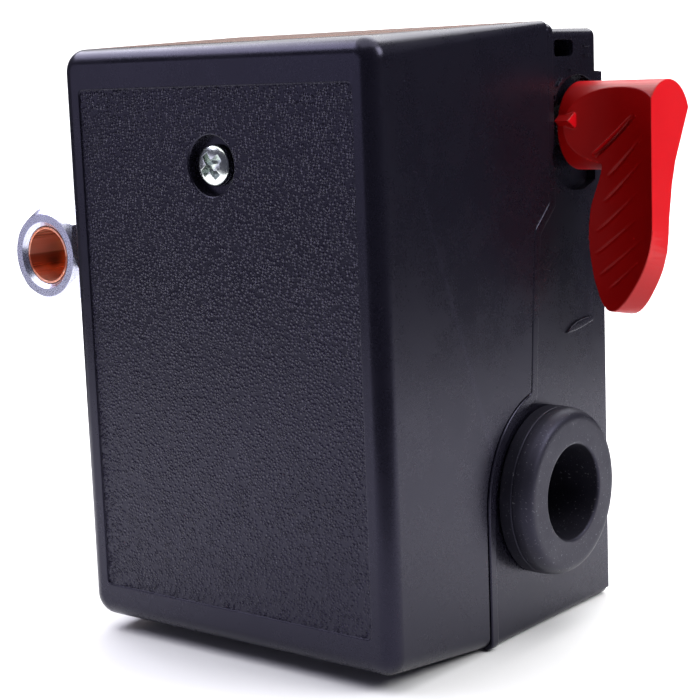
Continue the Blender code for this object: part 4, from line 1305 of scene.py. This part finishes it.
def refine_node(node):
    """Procedural finish and lightly rounded edges for a CAD node that stays."""
    item = frame["nodes"][node]
    for index in range(len(item.data.materials)):
        item.material_slots[index].material = BY_SLOT[SLOTS[node]]
    weld = item.modifiers.new("weld", "WELD")
    weld.merge_threshold = 0.001 * MM
    bevelled(item, 0.12, 2, 40)
    normals = item.modifiers.new("normals", "WEIGHTED_NORMAL")
    normals.keep_sharp = True


# ---------------------------------------------------------------- stage, camera and light

CAMERA_TURN = 38.673
CAMERA_PITCH = 9.164
CAMERA_ROLL = -2.153
CAMERA_PLACE = (0.19948, -0.26313, 0.10102)
CAMERA_LENS = 89.62
TABLE_TURN = 48.0
TABLE_LEFT = 0.36
TABLE_RIGHT = 0.27
TABLE_HALF_WIDTH = 0.15


def stage_piece(name, rows, material, mirrored):
    """Sheet through rows of points. Gloss shows it only when it is mirrored."""
    shape = bmesh.new()
    lines = [[shape.verts.new(point) for point in row] for row in rows]
    for first, second in zip(lines, lines[1:]):
        for index in range(len(first) - 1):
            shape.faces.new((first[index], first[index + 1], second[index + 1], second[index]))
    mesh = bpy.data.meshes.new(name)
    shape.to_mesh(mesh)
    shape.free()
    mesh.shade_smooth()
    mesh.materials.append(material)
    sheet = bpy.data.objects.new(name, mesh)
    sheet.visible_glossy = mirrored
    bpy.context.scene.collection.objects.link(sheet)


def make_stage(low):
    """Plain pale table under the object, and a pale sweep that curves up far behind it."""
    made = Finish("studio_floor")
    made.colour(made.blend(made.noise(300.0, 2.0), (0.86, 0.86, 0.86), (0.90, 0.90, 0.90)))
    made.roughness(made.span(made.noise(80.0), 0.3, 0.7, 0.55, 0.65))
    profile = [(-3.0, 0.0), (1.2, 0.0)]
    for step in range(1, 13):
        angle = math.radians(90 * step / 12)
        profile.append((1.2 + 0.8 * math.sin(angle), 0.8 * (1 - math.cos(angle))))
    profile.append((2.0, 3.0))
    aim = Matrix.Rotation(math.radians(CAMERA_TURN), 4, "Z")
    sweep = []
    for along, height in profile:
        sweep.append([aim @ Vector((x, along, height + low - 0.2 * MM)) for x in (-4.0, 4.0)])
    stage_piece("sweep", sweep, made.material, False)
    turn = Matrix.Rotation(math.radians(TABLE_TURN), 4, "Z")
    table = []
    for share in (-1.0, 0.0, 1.0):
        y = share * TABLE_HALF_WIDTH
        table.append([turn @ Vector((x, y, low)) for x in (-TABLE_LEFT, 0.0, TABLE_RIGHT)])
    stage_piece("table", table, made.material, True)


def area_light(name, place, target, size, power, colour=(1.0, 1.0, 1.0)):
    """Soft rectangular light that looks at a point."""
    data = bpy.data.lights.new(name, "AREA")
    data.shape = "RECTANGLE"
    data.size, data.size_y = size
    data.energy = power
    data.color = colour
    lamp = bpy.data.objects.new(name, data)
    lamp.location = place
    lamp.rotation_mode = "QUATERNION"
    lamp.rotation_quaternion = (Vector(target) - Vector(place)).to_track_quat("-Z", "Y")
    bpy.context.scene.collection.objects.link(lamp)


def make_camera():
    turn, pitch, roll = (math.radians(angle) for angle in (CAMERA_TURN, CAMERA_PITCH, CAMERA_ROLL))
    ahead = math.cos(pitch)
    forward = Vector((-math.sin(turn) * ahead, math.cos(turn) * ahead, -math.sin(pitch)))
    level = Vector((math.cos(turn), math.sin(turn), 0.0))
    above = level.cross(forward)
    right = level * math.cos(roll) + above * math.sin(roll)
    up = above * math.cos(roll) - level * math.sin(roll)
    data = bpy.data.cameras.new("camera")
    data.lens = CAMERA_LENS
    data.sensor_width = 36.0
    data.clip_start = 0.01
    data.clip_end = 20.0
    camera = bpy.data.objects.new("camera", data)
    rotation = Matrix((right, up, -forward)).transposed()
    camera.matrix_world = Matrix.Translation(CAMERA_PLACE) @ rotation.to_4x4()
    bpy.context.scene.collection.objects.link(camera)
    bpy.context.scene.camera = camera


def make_light():
    world = bpy.data.worlds.new("studio")
    world.use_nodes = True
    background = world.node_tree.nodes["Background"]
    background.inputs["Color"].default_value = (0.74, 0.72, 1.0, 1.0)
    background.inputs["Strength"].default_value = 0.09
    bpy.context.scene.world = world
    bpy.context.scene.view_settings.view_transform = "Standard"
    middle = (0.0, 0.0, 0.05)
    area_light("overhead", (-0.05, 0.05, 0.95), middle, (1.3, 1.3), 13.5)
    area_light("key", (0.74, 0.22, 0.62), middle, (0.45, 0.45), 6.5)
    area_light("left", (-0.90, -0.26, 0.98), middle, (1.4, 0.40), 11.0, (0.84, 0.82, 1.0))
    area_light("front", (-0.75, -0.95, 0.16), middle, (0.8, 0.34), 1.0, (0.80, 0.77, 1.0))
    area_light("back", (-0.6, 1.0, 1.0), (-0.7, 1.0, 0.0), (1.6, 1.6), 30.0)
    area_light("warm", (-0.70, 0.88, 0.27), middle, (0.5, 0.16), 0.30, (1.0, 0.55, 0.35))


make_cover()
make_base()
make_grommet("bush_right", 1, "cable_grommet_right")
make_grommet("bush_left", -1, "cable_grommet_left")
make_lever()
make_fasteners()
make_flange()
make_springs()
make_valve()
for kept in sorted(frame["nodes"]):
    if not frame["nodes"][kept].hide_render:
        refine_node(kept)
make_camera()
make_light()
make_stage(CAD_BOX[0].z - 0.05 * MM)
